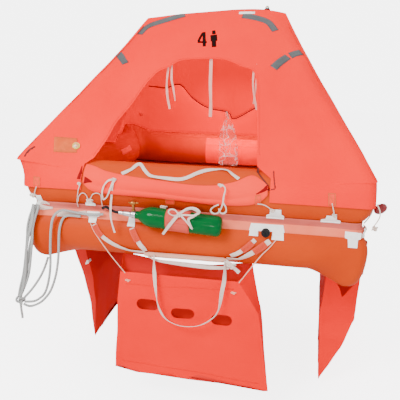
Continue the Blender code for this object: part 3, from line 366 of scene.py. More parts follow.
white_webbing = webbing_finish("white_webbing", paint(0.86, 0.69, 0.61), paint(0.5, 0.33, 0.27))
ribbon_weave = webbing_finish(
    "ribbon_weave", paint(0.82, 0.67, 0.58), paint(0.44, 0.31, 0.26), rib=0.0016, row=0.0018, bump=0.25
)
grey_rope = webbing_finish(
    "grey_rope", paint(0.46, 0.46, 0.445), paint(0.14, 0.138, 0.13), rib=0.0105, row=0.0042, twist=0.9, bump=0.6
)
pink_cord = webbing_finish(
    "pink_cord", paint(0.95, 0.55, 0.42), paint(0.6, 0.26, 0.18), rib=0.005, row=0.0028, twist=0.9, bump=0.5
)
red_webbing = webbing_finish("red_webbing", paint(0.8, 0.05, 0.012), paint(0.42, 0.02, 0.005))
brown_webbing = webbing_finish("brown_webbing", paint(0.34, 0.045, 0.008), paint(0.16, 0.018, 0.003))
salmon_strap = webbing_finish("salmon_strap", paint(0.72, 0.055, 0.03), paint(0.4, 0.028, 0.016))
print("finishes:", len(bpy.data.materials))

# %% [markdown]
# ## Helpers for meshes
# Most of a raft is sheet and tube, which is easiest to make as a grid of points joined by four-sided
# faces. The grid also gives each piece its own map in metres, so weaves and ribs keep their size.

# %% Mesh helpers
def smooth_path(points, per_span=4):
    """Points on a smooth curve through the given ones (Catmull-Rom)."""
    knots = [Vector(point) for point in points]
    knots = [2 * knots[0] - knots[1]] + knots + [2 * knots[-1] - knots[-2]]
    path = []
    for before, start, end, after in zip(knots, knots[1:], knots[2:], knots[3:]):
        for step in range(per_span):
            t = step / per_span
            path.append(
                0.5 * (2 * start + (end - before) * t + (2 * before - 5 * start + 4 * end - after) * t * t
                + (3 * start - before - 3 * end + after) * t**3)
            )
    path.append(knots[-2])
    return path


def evenly(points, step):
    """The same path with a point about every step metres."""
    lengths = [0.0]
    for first, second in zip(points, points[1:]):
        lengths.append(lengths[-1] + (second - first).length)
    count = max(2, round(lengths[-1] / step))
    found, i = [], 0
    for k in range(count + 1):
        goal = lengths[-1] * k / count
        while i < len(lengths) - 2 and lengths[i + 1] < goal:
            i += 1
        span = lengths[i + 1] - lengths[i]
        found.append(points[i].lerp(points[i + 1], (goal - lengths[i]) / span if span else 0.0))
    return found


def even_run(stops, per_span, step):
    """A smooth path through the stops, with its points evenly spaced."""
    return evenly(smooth_path(stops, per_span), step)


def raised(stops):
    return [(x, y, up(h)) for x, y, h in stops]


def between(table, share):
    """The value at a share of the way through a table of (share, value)."""
    for (first, a), (second, b) in zip(table, table[1:]):
        if share <= second:
            return a + (b - a) * (share - first) / (second - first)
    return table[-1][1]


def heading(path, i):
    """The way that a path runs at its point i."""
    return path[min(i + 1, len(path) - 1)] - path[max(i - 1, 0)]


def round_about(centre, side, other, radius, sides):
    turns = [2 * pi * k / sides for k in range(sides)]
    return [centre + (side * cos(t) + other * sin(t)) * radius for t in turns]


def path_length(points):
    return sum((second - first).length for first, second in zip(points, points[1:]))


def grid_mesh(name, rows, wrap_rows=False, wrap_columns=False, caps=False, outward=True):
    """A mesh through rows of points, with a map in metres. Wrapped rows close on themselves."""
    work = bmesh.new()
    layer = work.loops.layers.uv.new("UVMap")
    verts = [[work.verts.new(point) for point in row] for row in rows]
    count, total = len(rows[0]), len(rows)
    middle = rows[total // 2]
    across, along = [0.0], [0.0]
    for j in range(count):
        across.append(across[-1] + (middle[(j + 1) % count] - middle[j]).length)
    for i in range(total):
        along.append(along[-1] + (rows[(i + 1) % total][count // 2] - rows[i][count // 2]).length)
    for i in range(total if wrap_columns else total - 1):
        for j in range(count if wrap_rows else count - 1):
            i2, j2 = (i + 1) % total, (j + 1) % count
            face = work.faces.new((verts[i][j], verts[i][j2], verts[i2][j2], verts[i2][j]))
            for loop, (a, b) in zip(face.loops, ((j, i), (j + 1, i), (j + 1, i + 1), (j, i + 1))):
                loop[layer].uv = (across[a], along[b])
    if caps:
        work.faces.new(verts[0][::-1])
        work.faces.new(verts[-1])
    if outward:
        bmesh.ops.recalc_face_normals(work, faces=work.faces)
    mesh = bpy.data.meshes.new(name)
    work.to_mesh(mesh)
    work.free()
    return mesh


def dress(item, finish, nodes, angle):
    """Gives a piece its finish and its place on the raft, instead of the solids that it stands for."""
    for one in finish if isinstance(finish, (list, tuple)) else (finish,):
        item.data.materials.append(one)
    item.data.shade_smooth()
    item.data.set_sharp_from_angle(angle=radians(angle))
    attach(item, "root")
    if nodes:
        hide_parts(*nodes)
    return item


def show(name, mesh, finish, nodes=(), angle=40):
    return dress(linked(name, mesh), finish, nodes, angle)


def sheet_mesh(name, rows, way=Vector((0, -1, 0))):
    """A sheet through rows of points, turned so that on the whole its faces look this way."""
    mesh = grid_mesh(name, rows, outward=False)
    if sum(f.normal.dot(way) * f.area for f in mesh.polygons) < 0:
        mesh.flip_normals()
    return mesh


def pick(item):
    """Selects one object alone, for an operator."""
    bpy.ops.object.select_all(action="DESELECT")
    item.select_set(True)
    bpy.context.view_layer.objects.active = item


def apply_modifiers(item):
    pick(item)
    for modifier in list(item.modifiers):
        bpy.ops.object.modifier_apply(modifier=modifier.name)


def thicken(item, thickness, offset=-1.0, inner=0):
    solid = item.modifiers.new("thickness", "SOLIDIFY")
    solid.thickness, solid.offset = thickness, offset
    solid.material_offset = inner
    apply_modifiers(item)
    return item


def tube_mesh(name, path, radius, sides=10, taper=None):
    """A round tube along a path, with closed ends. taper gives the radius's share at each point."""
    rows = []
    side = (path[1] - path[0]).orthogonal().normalized()
    for i, point in enumerate(path):
        forward = heading(path, i).normalized()
        side = (side - forward * side.dot(forward)).normalized()
        rows.append(round_about(point, side, forward.cross(side), radius * (taper[i] if taper else 1.0), sides))
    return grid_mesh(name, rows, wrap_rows=True, caps=True)


def strap_mesh(name, path, width, thickness, facing):
    """Flat webbing along a path. facing gives the way its face turns at a point."""
    rows = []
    for i, point in enumerate(path):
        forward = heading(path, i)
        side = forward.cross(facing(point) if callable(facing) else facing[i]).normalized()
        lift = side.cross(forward).normalized() * thickness / 2
        half = side * width / 2
        edge = ((-1, -0.6), (-0.94, -1), (0.94, -1), (1, -0.6), (1, 0.6), (0.94, 1), (-0.94, 1), (-1, 0.6))
        rows.append([point + half * s + lift * t for s, t in edge])
    return grid_mesh(name, rows, wrap_rows=True, caps=True)


def show_tube(name, path, radius, sides, finish, nodes=(), taper=None):
    return show(name, tube_mesh(name, path, radius, sides, taper), finish, nodes)


def show_strap(name, path, width, thickness, facing, finish, nodes=()):
    return show(name, strap_mesh(name, path, width, thickness, facing), finish, nodes)


def rope(name, path, diameter, nodes=()):
    item = show_tube(name, path, diameter / 2, 10, grey_rope, nodes)


def thin_cord(
    name, path, diameter, finish=None, nodes=(), sides=8
):
    item = show_tube(name, path, diameter / 2, sides, finish or ribbon_weave, nodes)


def ribbon(name, path, width, thickness, facing, finish=None, nodes=()):
    item = show_strap(name, path, width, thickness, facing, finish or ribbon_weave, nodes=nodes)


def off_upper(point):
    return Vector((0, point.y + TUBE_LINE, point.z - UPPER_Z)).normalized()


def off_lower(point):
    return Vector((0, point.y + TUBE_LINE, point.z - LOWER_Z)).normalized()


def to_front(point):
    return Vector((0, -1, 0))


# %% [markdown]
# ## The square's shape
# Both tubes and the tent's skirt follow one rounded square. At its corners the tubes stand out as
# pointed ears, so one function gives the tube's section at any place round the square, and the pieces
# that lie on the tubes ask it where their skin is.

# %% The rounded square
EAR_START, EAR_IN, EAR_SHIFT, EAR_ROUND = 0.64, 0.045, 0.0475, 0.05
UPPER_RISES = (0.043, 0.024, 0.043, 0.043)
LOWER_RISES = (0.028, 0.058, 0.043, 0.043)


def ear(station):
    reach = abs(station) * (HALF_SIDE - EAR_ROUND)
    return max(0.0, (reach - EAR_START) / (HALF_SIDE - EAR_ROUND - EAR_START)) ** 2


def front_spot(x):
    return (0, max(-1.0, min(1.0, x / (HALF_SIDE - EAR_ROUND))), None)


def corner_of(spot):
    return (spot[0] + (spot[1] > 0)) % 4


def section_shape(spot, growing=False, rises=UPPER_RISES):
    bulge = ear(spot[1])
    inner = HALF_SIDE - 2 * TUBE_RADIUS + EAR_IN * bulge
    centre, half_height = (HALF_SIDE + inner) / 2, TUBE_RADIUS
    if growing:
        centre += EAR_SHIFT * bulge
        half_height += rises[corner_of(spot)] * bulge
    return centre, HALF_SIDE - centre, centre - inner, half_height


def plan_point(side, station, turn, distance, rounding=EAR_ROUND):
    straight = distance - rounding
    if turn is None:
        point = Vector((station * straight, -distance))
    else:
        angle = radians(turn)
        point = Vector((straight + rounding * sin(angle), -straight - rounding * cos(angle)))
    return point @ Matrix.Rotation(-side * pi / 2, 2)


RUN = [-1 + 2 * k / 64 for k in range(65)]
TURNS = [90 * k / 8 for k in range(1, 8)]
SPOTS = [spot for side in range(4) for spot in [(side, s, None) for s in RUN] + [(side, 1, t) for t in TURNS]]


def tube_point(spot, middle_z, angle, clear=0.0, grow_up=True, further=0.0):
    across, rise = cos(angle), sin(angle)
    rises = UPPER_RISES if grow_up else LOWER_RISES
    centre, outer, inner, half_height = section_shape(spot, (rise > 0) == grow_up, rises)
    distance = centre + ((outer if across > 0 else inner) + clear) * across + further
    x, y = plan_point(*spot, distance)
    return Vector((x, y, middle_z + (half_height + clear) * rise))


def front_skin(x, height):
    """Distance from the raft's middle to the skin of the front tubes."""
    centre, outer, _, _ = section_shape(front_spot(x))
    middle = TUBE_RADIUS if up(height) < SEAM_Z else 3 * TUBE_RADIUS
    rise = max(-1.0, min(1.0, (height - middle) / TUBE_RADIUS))
    return centre + outer * sqrt(1 - rise**2)


def front_tube_point(x, height, clear):
    centre, outer, _, half_height = section_shape(front_spot(x), up(height) > UPPER_Z)
    rise = (up(height) - UPPER_Z) / (half_height + clear)
    return Vector((x, -centre - (outer + clear) * sqrt(max(0.0, 1 - rise**2)), up(height)))


def lower_skin(x, height, clear=0.0023):
    """In front of the lower tube, this far off its skin. Below the tube's line it hangs plumb."""
    centre, outer, _, _ = section_shape(front_spot(x))
    rise = (up(height) - LOWER_Z) / (TUBE_RADIUS + clear)
    return Vector((x, -centre - (outer + clear) * sqrt(max(0.0, 1 - rise**2)), up(height)))


print("places round the square:", len(SPOTS))

# %% [markdown]
# ## Cords to the front pocket
# Two thin cords hold the pocket's mouth open. Each comes out from under a patch, crosses the lower
# tube and ends sewn to the pocket's front edge. A cord is a tube along one smooth path of its real
# length, so each keeps its thickness round every bend.

# %% Pocket cords
POCKET_CORDS = (
    ("pocket_cord_left", ((-0.505, 0.178), (-0.49, 0.152), (-0.472, 0.125)), (-0.405, -0.8515, 0.03),
        (-0.328, -0.8379, -0.074)),
    ("pocket_cord_right", ((0.416, 0.166), (0.402, 0.147), (0.385, 0.125)), (0.345, -0.8505, 0.075),
        (0.252, -0.8379, -0.072)),
)
for name, on_tube, under, end in POCKET_CORDS:
    stops = [lower_skin(x, height, 0.0036) for x, height in on_tube]
    stops += raised((under, end))
    path = even_run(stops, 8, 0.012)
    thin_cord(name + "_line", path, 0.005, pink_cord, [name])
print("pocket cords:", round(path_length(path), 3), "m")

# %% [markdown]
# ## The painter
# The painter is the raft's long mooring rope. Here it is stowed: doubled over again and again from the
# left corner down to one knot. Each pass is its own rope along its own path, so the bundle keeps the
# gaps and crossings of a real one, and all of them go into the knot.

# %% Painter
ROPE = 0.0126
KNOT_AT = Vector((-0.884, -0.88, up(-0.2625)))


def knot_mesh(name, centre, size, radius):
    """An overhand knot pulled tight: a tube along a trefoil, squeezed to its size."""
    loop = []
    for k in range(73):
        t = 2 * pi * k / 73
        trefoil = Vector((sin(t) + 2 * sin(2 * t), 0.9 * sin(3 * t), cos(t) - 2 * cos(2 * t)))
        loop.append(centre + Vector((trefoil.x * size[0] / 3, trefoil.y * size[1], trefoil.z * size[2] / 3)))
    rows = []
    for i, point in enumerate(loop):
        forward = (loop[(i + 1) % 73] - loop[i - 1]).normalized()
        side = forward.cross(Vector((0.2, 1, 0.1))).normalized()
        rows.append(round_about(point, side, forward.cross(side), radius, 10))
    return grid_mesh(name, rows, wrap_rows=True, wrap_columns=True)


def tied(name, spot, size, radius, finish=None, nodes=()):
    """A small knot at a place."""
    return show(name, knot_mesh(name, spot, size, radius), finish or ribbon_weave, nodes)


tied("painter_knot_rope", KNOT_AT, (0.021, 0.011, 0.026), 0.0062, grey_rope, ["painter_knot"])

OUTER = (
    (-0.44, -0.8316, 0.228), (-0.463, -0.8362, 0.225), (-0.5, -0.8375, 0.223), (-0.538, -0.8365, 0.223),
    (-0.6, -0.8335, 0.229), (-0.655, -0.842, 0.235), (-0.69, -0.858, 0.205), (-0.702, -0.87, 0.14),
    (-0.708, -0.874, 0.04), (-0.711, -0.876, -0.054), (-0.724, -0.878, -0.14), (-0.746, -0.88, -0.207),
    (-0.78, -0.88, -0.243), (-0.812, -0.88, -0.261), (-0.86, -0.88, -0.268),
)
INNER = (
    (-0.56, -0.831, 0.206), (-0.615, -0.832, 0.208), (-0.645, -0.84, 0.198), (-0.659, -0.8535, 0.16),
    (-0.664, -0.8625, 0.11), (-0.669, -0.868, 0.001), (-0.684, -0.872, -0.1), (-0.713, -0.876, -0.187),
    (-0.74, -0.89, -0.23), (-0.775, -0.893, -0.262), (-0.824, -0.893, -0.2835), (-0.864, -0.884, -0.28),
)
UNDER = (
    (-0.752, -0.813, -0.0335), (-0.757, -0.826, -0.062), (-0.765, -0.842, -0.095), (-0.78, -0.852, -0.13),
    (-0.8, -0.862, -0.165), (-0.826, -0.872, -0.203), (-0.864, -0.88, -0.248),
)
for part, stops in (("outer", OUTER), ("inner", INNER), ("under", UNDER)):
    rope("painter_" + part, even_run(raised(stops), 6, 0.012), ROPE, nodes=["painter_loop_" + part])
# The line down the middle of the bundle.
BUNDLE = (
    (-0.788, -0.849, 0.258), (-0.796, -0.853, 0.225), (-0.803, -0.859, 0.19), (-0.809, -0.869, 0.14),
    (-0.814, -0.876, 0.09), (-0.824, -0.88, 0.03), (-0.844, -0.88, -0.1), (-0.868, -0.88, -0.19),
    (-0.8835, -0.88, -0.238),
)
# Strands of the bundle: how far each lies to the side of that line and in front of it, and how it sways.
STRANDS = (
    (-0.015, 0.0, 0.004), (-0.0048, -0.0045, -0.003), (0.0052, 0.0015, 0.003), (0.0152, -0.003, -0.004),
    (0.001, -0.0095, 0.006)
)
for number, (aside, front, wander) in enumerate(STRANDS, start=1):
    stops = []
    for i, (x, y, h) in enumerate(BUNDLE):
        close = 1.0 if i < 7 else (0.75, 0.35)[i - 7]
        sway = wander * sin(i * 1.3 + number)
        stops.append((x + aside * close + sway, y + front * close, up(h)))
    path = even_run(stops, 6, 0.012)
    rope(f"painter_strand_{number}", path, ROPE, nodes=["painter_hank"] if number == 1 else ())
stops = ((-0.884, -0.88, -0.285), (-0.8825, -0.88, -0.32), (-0.88, -0.8795, -0.345), (-0.879, -0.88, -0.364))
rope("painter_end", even_run(raised(stops), 6, 0.01), ROPE, nodes=["painter_tail"])
print("painter strands:", len(STRANDS) + 3)

# %% [markdown]
# ## The two tubes
# Each tube is one closed ring of coated cloth, glued and blown up hard. It is made as sections round
# the square, with many more points than the plain solid, and gathers a little where the ears' panels
# are glued, which is where real tubes pucker.

# %% Tubes
def tube_ring(name, middle_z, grow_up):
    rows = []
    for number, spot in enumerate(SPOTS):
        row = []
        for k in range(56):
            angle = 2 * pi * k / 56
            point = tube_point(spot, middle_z, angle, 0.0, grow_up)
            bulge = ear(spot[1])
            near_seam = max(0.0, -sin(angle) if grow_up else sin(angle)) ** 2
            pucker = 0.0012 * sin(number * 2.1) * exp(-((abs(spot[1]) - 0.86) / 0.09) ** 2) * near_seam
            soft = 0.0016 * noise.noise(point * 5.0 + Vector((3, 1, 7))) * (0.3 + bulge)
            out = tube_point(spot, middle_z, angle, 1.0, grow_up) - point
            row.append(point + out * (soft - abs(pucker) - 0.0008))
        rows.append(row)
    return grid_mesh(name, rows, wrap_rows=True, wrap_columns=True)


upper_tube = show(
    "upper_tube_skin", tube_ring("upper_tube_skin", UPPER_Z, True), tube_rubber, ["upper_tube"]
)
lower_tube = show(
    "lower_tube_skin", tube_ring("lower_tube_skin", LOWER_Z, False), tube_rubber, ["lower_tube"]
)
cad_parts["floor"].data.materials.clear()
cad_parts["floor"].data.materials.append(floor_rubber)
print("tubes: two rings of", len(SPOTS), "sections")

# %% [markdown]
# ## The tent
# The tent is one curved sheet from the ridge down over the tubes, sewn from panels, with the entrance
# cut in its front. Its rows run from the ridge to the hem. Soft folds are pushed into the grid, then
# the sheet gets its thickness, with a lining inside that glows red: painted light standing in for the
# daylight that shines through the cloth.

# %% Tent rows
CANOPY_CLEAR, EAR_CLEAR = 0.0059, 0.003
RIDGE_HEIGHT, RIDGE_LEFT, RIDGE_RIGHT, RIDGE_TOP_X = 1.304, 0.425, 0.4, 0.2
SKIRT_ROWS = ((52, 0.038), (45, 0.0275), (30, 0.0105), (15, 0.0), (0, 0.0), (-5, 0.0))
TIP_SHARES = (1.0, 0.35, 1.0, 1.0)
HIP_SAGS = (0.008, 0.006, 0.008, 0.008)


def ridge_height(x):
    if x < RIDGE_TOP_X:
        return RIDGE_HEIGHT - 0.061 * ((RIDGE_TOP_X - x) / (RIDGE_TOP_X + RIDGE_LEFT)) ** 1.6
    return RIDGE_HEIGHT - 0.02 * ((x - RIDGE_TOP_X) / (RIDGE_RIGHT - RIDGE_TOP_X)) ** 2


def ridge_half(x):
    return RIDGE_LEFT if x < 0 else RIDGE_RIGHT


def shoulder_drop(x):
    end_drop = 0.058 if x < 0 else 0.08
    return 0.032 + (end_drop - 0.032) * abs(x / ridge_half(x)) ** 3


def tent_profile(spot):
    """The tent's line at one place round the square, from the ridge to the hem."""
    line = []
    for past_end, half_y, drop_share in ((0.0, 0.024, 0.0), (0.045, 0.064, 1.0)):
        x, y = plan_point(*spot, 1.0, 0.2)
        half_x = ridge_half(x)
        height = ridge_height(x * half_x) - drop_share * shoulder_drop(x * half_x)
        line.append(Vector((x * (half_x + past_end), y * half_y, up(height))))
    bulge = ear(spot[1])
    skirt = []
    for angle, further in SKIRT_ROWS:
        clear = CANOPY_CLEAR + EAR_CLEAR * sqrt(bulge)
        skirt.append(
            tube_point(spot, UPPER_Z, radians(angle), clear, True, further * bulge * TIP_SHARES[corner_of(spot)])
        )
    top, base = line[1], skirt[0]
    for step in range(1, 7):
        share = step / 7
        point = top.lerp(base, share)
        sag = HIP_SAGS[corner_of(spot)] * bulge * 6.75 * share * (1 - share) ** 2
        line.append(point - Vector((copysign(sag, point.x), copysign(sag, point.y), 0)))
    return line + skirt


# Folds in the tent's cloth: start, end, half width, how far they stand out.
FOLDS = (
    ((0.42, -0.3, 1.02), (0.765, -0.74, 0.53), 0.04, 0.0075), ((0.3, -0.62, 0.6), (0.47, -0.22, 1.1), 0.05, -0.006),
    ((0.33, -0.7, 0.52), (0.62, -0.52, 0.75), 0.045, 0.005), ((0.37, -0.55, 0.7), (0.52, -0.6, 0.6), 0.03, -0.004),
    ((0.31, -0.45, 0.8), (0.56, -0.68, 0.52), 0.035, 0.0045),
    ((-0.74, -0.78, 0.45), (-0.56, -0.55, 0.72), 0.04, 0.004),
    ((-0.6, -0.8, 0.44), (-0.52, -0.62, 0.62), 0.03, -0.003),
    ((-0.3, -0.12, 1.15), (-0.05, -0.16, 1.1), 0.035, 0.0035),
    ((0.05, -0.1, 1.2), (0.3, -0.2, 1.07), 0.04, -0.0035), ((-0.45, 0.35, 1.0), (-0.7, 0.7, 0.6), 0.04, 0.006),
    ((0.45, 0.35, 1.0), (0.7, 0.72, 0.58), 0.04, 0.006), ((0.0, 0.2, 1.1), (0.1, 0.7, 0.6), 0.06, -0.005),
    ((-0.25, 0.2, 1.1), (-0.3, 0.7, 0.6), 0.05, 0.0045), ((0.62, -0.3, 0.85), (0.8, -0.55, 0.5), 0.04, 0.005),
    ((0.6, 0.1, 0.9), (0.8, 0.2, 0.55), 0.05, -0.0045), ((-0.6, 0.1, 0.9), (-0.8, -0.1, 0.55), 0.05, -0.0045),
    ((0.4, -0.3, 1.05), (0.5, -0.52, 0.74), 0.016, 0.004), ((0.5, -0.52, 0.74), (0.74, -0.72, 0.56), 0.018, 0.0042),
    ((0.4, -0.76, 0.5), (0.7, -0.74, 0.56), 0.022, -0.003),
    ((-0.72, -0.74, 0.52), (-0.4, -0.46, 0.8), 0.02, 0.0032),
    ((-0.48, -0.36, 0.92), (-0.34, -0.2, 1.1), 0.022, -0.003),
    ((0.1, -0.22, 1.06), (0.32, -0.26, 1.0), 0.018, 0.003),
)
WAVE, WAVE_SIZE = 0.0038, 3.2


def fold_lift(point):
    """How far the cloth stands out at a point: its folds, and slow waves."""
    slow = noise.noise(point * WAVE_SIZE + Vector((0.0, 2.3, 5.1)))
    quick = noise.noise(point * WAVE_SIZE * 3.1 + Vector((0.0, 9, 1)))
    lift = WAVE * slow + WAVE * 0.4 * quick
    for start, end, half, out in FOLDS:
        start, end = Vector(start), Vector(end)
        along = end - start
        share = max(0.0, min(1.0, (point - start).dot(along) / along.length_squared))
        away = (point - start - along * share).length
        lift += 1.9 * out * exp(-((away / half) ** 2)) * sin(pi * (0.08 + 0.84 * share))
    return lift


def tent_sheet():
    lines = [smooth_path(tent_profile(spot), 3) for spot in SPOTS]
    work = bmesh.new()
    rows = [[work.verts.new(lines[i][k]) for i in range(len(SPOTS))] for k in range(len(lines[0]))]
    count = len(SPOTS)
    for first, second in zip(rows, rows[1:]):
        for i in range(count):
            j = (i + 1) % count
            work.faces.new((first[i], second[i], second[j], first[j]))
    run, half = len(RUN), count // 2
    front, rear = rows[0][:run], rows[0][half : half + run]
    for i in range(run - 1):
        work.faces.new((front[i], front[i + 1], rear[run - 2 - i], rear[run - 1 - i]))
    work.faces.new(rows[0][run - 1 : half + 1])
    work.faces.new(rows[0][half + run - 1 :] + rows[0][:1])
    bmesh.ops.recalc_face_normals(work, faces=work.faces)
    work.normal_update()
    if sum(face.normal.z * face.calc_area() for face in work.faces) < 0:
        bmesh.ops.reverse_faces(work, faces=work.faces)
        work.normal_update()
    for vert in work.verts:
        calm = max(0.0, min(1.0, (vert.co.z - 0.42) / 0.12))
        vert.co += vert.normal * (fold_lift(vert.co) * calm)
    mesh = bpy.data.meshes.new("tent")
    work.to_mesh(mesh)
    work.free()
    return mesh


# %% Tent with its entrance
ENTRANCE = (
    (-0.505, 0.5), (-0.464, 0.587), (-0.438, 0.663), (-0.381, 0.757), (-0.335, 0.853), (-0.281, 0.926),
    (-0.22, 0.957), (-0.17, 0.99), (-0.1, 1.002), (0.01, 1.007), (0.09, 1.003), (0.185, 0.968), (0.254, 0.932),
    (0.281, 0.754), (0.305, 0.5),
)
FLAP_GAP = ((0.372, 0.455), (0.372, 0.25), (-0.545, 0.25), (-0.545, 0.47))


def prism(name, outline, near, far):
    """A closed block through an outline of x and height, between two places along Y."""
    mesh = grid_mesh(
        name, [[Vector((x, y, up(h))) for x, h in outline] for y in (near, far)], wrap_rows=True, caps=True
    )
    return linked(name, mesh)


def cut_away(item, tool, solver="EXACT"):
    boolean = item.modifiers.new("cut", "BOOLEAN")
    boolean.operation, boolean.object, boolean.solver = "DIFFERENCE", tool, solver
    apply_modifiers(item)
    bpy.data.objects.remove(tool, do_unlink=True)


tent = show("tent", tent_sheet(), [tent_cloth, lining_painted_glow], ["canopy"])
arch_line = [(p.x, p.y) for p in smooth_path([(x, h, 0) for x, h in ENTRANCE], 4)]
thicken(tent, 0.0022, -1, inner=1)
cut_away(tent, prism("entrance_shape", arch_line + list(FLAP_GAP), -1.1, -0.15), "FAST")
tent.data.shade_smooth()
tent.data.set_sharp_from_angle(angle=radians(50))
print("tent:", len(tent.data.polygons), "faces")

# %% [markdown]
# ## The door flap
# The door is let down over the front tube and tied at both ends, folded double, so it bulges like a
# soft roll with a crease along its lower third.

# %% Door flap
FLAP = (
    (-0.535, 0.468, 0.385), (-0.49, 0.462, 0.35), (-0.42, 0.443, 0.341), (-0.3, 0.428, 0.337),
    (-0.16, 0.418, 0.333), (-0.02, 0.408, 0.326), (0.1, 0.41, 0.32), (0.2, 0.43, 0.322), (0.28, 0.462, 0.331),
    (0.33, 0.445, 0.352), (0.362, 0.425, 0.385),
)


def flap_sheet():
    tops = smooth_path([(x, top, 0) for x, top, low in FLAP], 6)
    lows = smooth_path([(x, low, 0) for x, top, low in FLAP], 6)
    rows = []
    for top, low in zip(tops, lows):
        row = []
        end = min(1.0, (top.x + 0.535) / 0.08, (0.362 - top.x) / 0.08)
        for k in range(25):
            share = k / 24
            bulge = 0.007 * sin(pi * min(1.0, share / 0.7)) if share < 0.7 else 0.0045 * sin(pi * (share - 0.7) / 0.3)
            point = front_tube_point(top.x, top.y + (low.y - top.y) * share, 0.004 + bulge * (0.35 + 0.65 * end))
            slow = 0.0014 * noise.noise(Vector((point.x * 7, point.z * 16, 4.4)))
            ripple = slow + 0.0009 * sin(point.x * 46 + share * 5) * (1 - end)
            row.append(point + off_upper(point) * ripple)
        rows.append(row)
    return sheet_mesh("door_flap_cloth", rows)


# The flap's inner side is the glowing lining: painted light.
flap = show("door_flap_cloth", flap_sheet(), [flap_cloth, lining_painted_glow], ["door_flap"])
thicken(flap, 0.003, 1, inner=1)
print("flap:", len(flap.data.polygons), "faces")

# %% [markdown]
# ## Ballast pockets
# A pocket is a bag of thin cloth, open at the top. It hangs from the tube's underside and fills with
# water, which keeps the raft from turning over. Out of the water it is limp: its two wide walls come
# together at the foot. Each is one shell, lofted from the mouth down, with folds in its walls.

# %% Pockets
POCKET_COLUMNS = (
    "back_left", "back_right", "front_left", "front_right", "back_h", "fold_h", "front_h", "back_out", "front_out",
    "sag", "swing", "drop"
)
POCKETS = (
    ("pocket_front", 0, (
        (-0.37, 0.312, -0.357, 0.25, 0.0, -0.05, -0.069, 0.728, 0.835, 0.032, 0.0, 0.0),
        (-0.374, 0.372, -0.374, 0.362, -0.225, -0.225, -0.225, 0.744, 0.829, 0.0, 0.0, 0.01),
        (-0.395, 0.435, -0.395, 0.435, -0.635, -0.635, -0.635, 0.795, 0.82, 0.0, 0.0, 0.045),
    )),
    ("pocket_right", 1, (
        (-0.45, 0.37, -0.45, 0.37, 0.0, -0.275, -0.15, 0.728, 0.908, 0.0, 0.07, 0.0),
        (-0.455, 0.37, -0.455, 0.37, -0.4, -0.4, -0.4, 0.704, 0.905, 0.0, 0.08, 0.0),
        (-0.455, 0.375, -0.455, 0.375, -0.585, -0.585, -0.585, 0.716, 0.846, 0.0, 0.085, 0.0),
        (-0.455, 0.375, -0.455, 0.375, -0.81, -0.81, -0.81, 0.722, 0.745, 0.0, 0.085, 0.0),
    )),
    ("pocket_rear", 2, (
        (-0.35, 0.35, -0.33, 0.33, 0.0, -0.05, -0.069, 0.728, 0.835, 0.032, 0.0, 0.0),
        (-0.355, 0.355, -0.35, 0.35, -0.225, -0.225, -0.225, 0.744, 0.829, 0.0, 0.0, 0.0),
        (-0.37, 0.37, -0.37, 0.37, -0.56, -0.56, -0.56, 0.79, 0.815, 0.0, 0.0, 0.0),
    )),
    ("pocket_left", 3, (
        (-0.4, 0.45, -0.4, 0.47, 0.0, -0.09, -0.03, 0.728, 0.79, 0.0, 0.0, 0.0),
        (-0.4, 0.465, -0.4, 0.47, -0.28, -0.28, -0.28, 0.64, 0.697, 0.0, 0.0, 0.0),
        (-0.4, 0.47, -0.4, 0.47, -0.66, -0.66, -0.66, 0.622, 0.652, 0.0, 0.0, 0.0),
    )),
)


FOLD_STEPS, WALL_STEPS, LEVEL_STEPS, CLOTH_EDGE = 5, 34, 15, 0.002
FRONT_WALL = range(2 * FOLD_STEPS, 2 * FOLD_STEPS + WALL_STEPS)
BACK_WALL = range(FRONT_WALL.stop + 2 * FOLD_STEPS, 2 * FRONT_WALL.stop)


def pocket_ring(row):
    """The loop of a pocket at one level, in the entrance side's place."""
    back, front = row["back_out"] + CLOTH_EDGE, row["front_out"] - CLOTH_EDGE
    ends = []
    for side, turn in (("left", 1), ("right", -1)):
        swing, drop = (row["swing"], row["drop"]) if side == "right" else (0.0, 0.0)
        back_x, front_x = (row[wall + side] + turn * CLOTH_EDGE for wall in ("back_", "front_"))
        ends.append([Vector((x, -out, up(h) - 0.0005 - drop)) for x, out, h in (
            (back_x, back + swing, row["back_h"]),
            ((back_x + front_x) / 2, (back + front) / 2 + swing, row["fold_h"]),
            (front_x, front + swing, row["front_h"]))])
    left, right = ends
    loop = []
    corners = left + right[::-1] + left[:1]
    counts = (FOLD_STEPS, FOLD_STEPS, WALL_STEPS) * 2
    for first, second, steps in zip(corners, corners[1:], counts):
        for k in range(steps):
            share = k / steps
            point = first.lerp(second, share)
            if first is right[0]:
                point.z -= row["sag"] * min(1.0, share / 0.3, (1 - share) / 0.3)
            loop.append(point)
    return loop


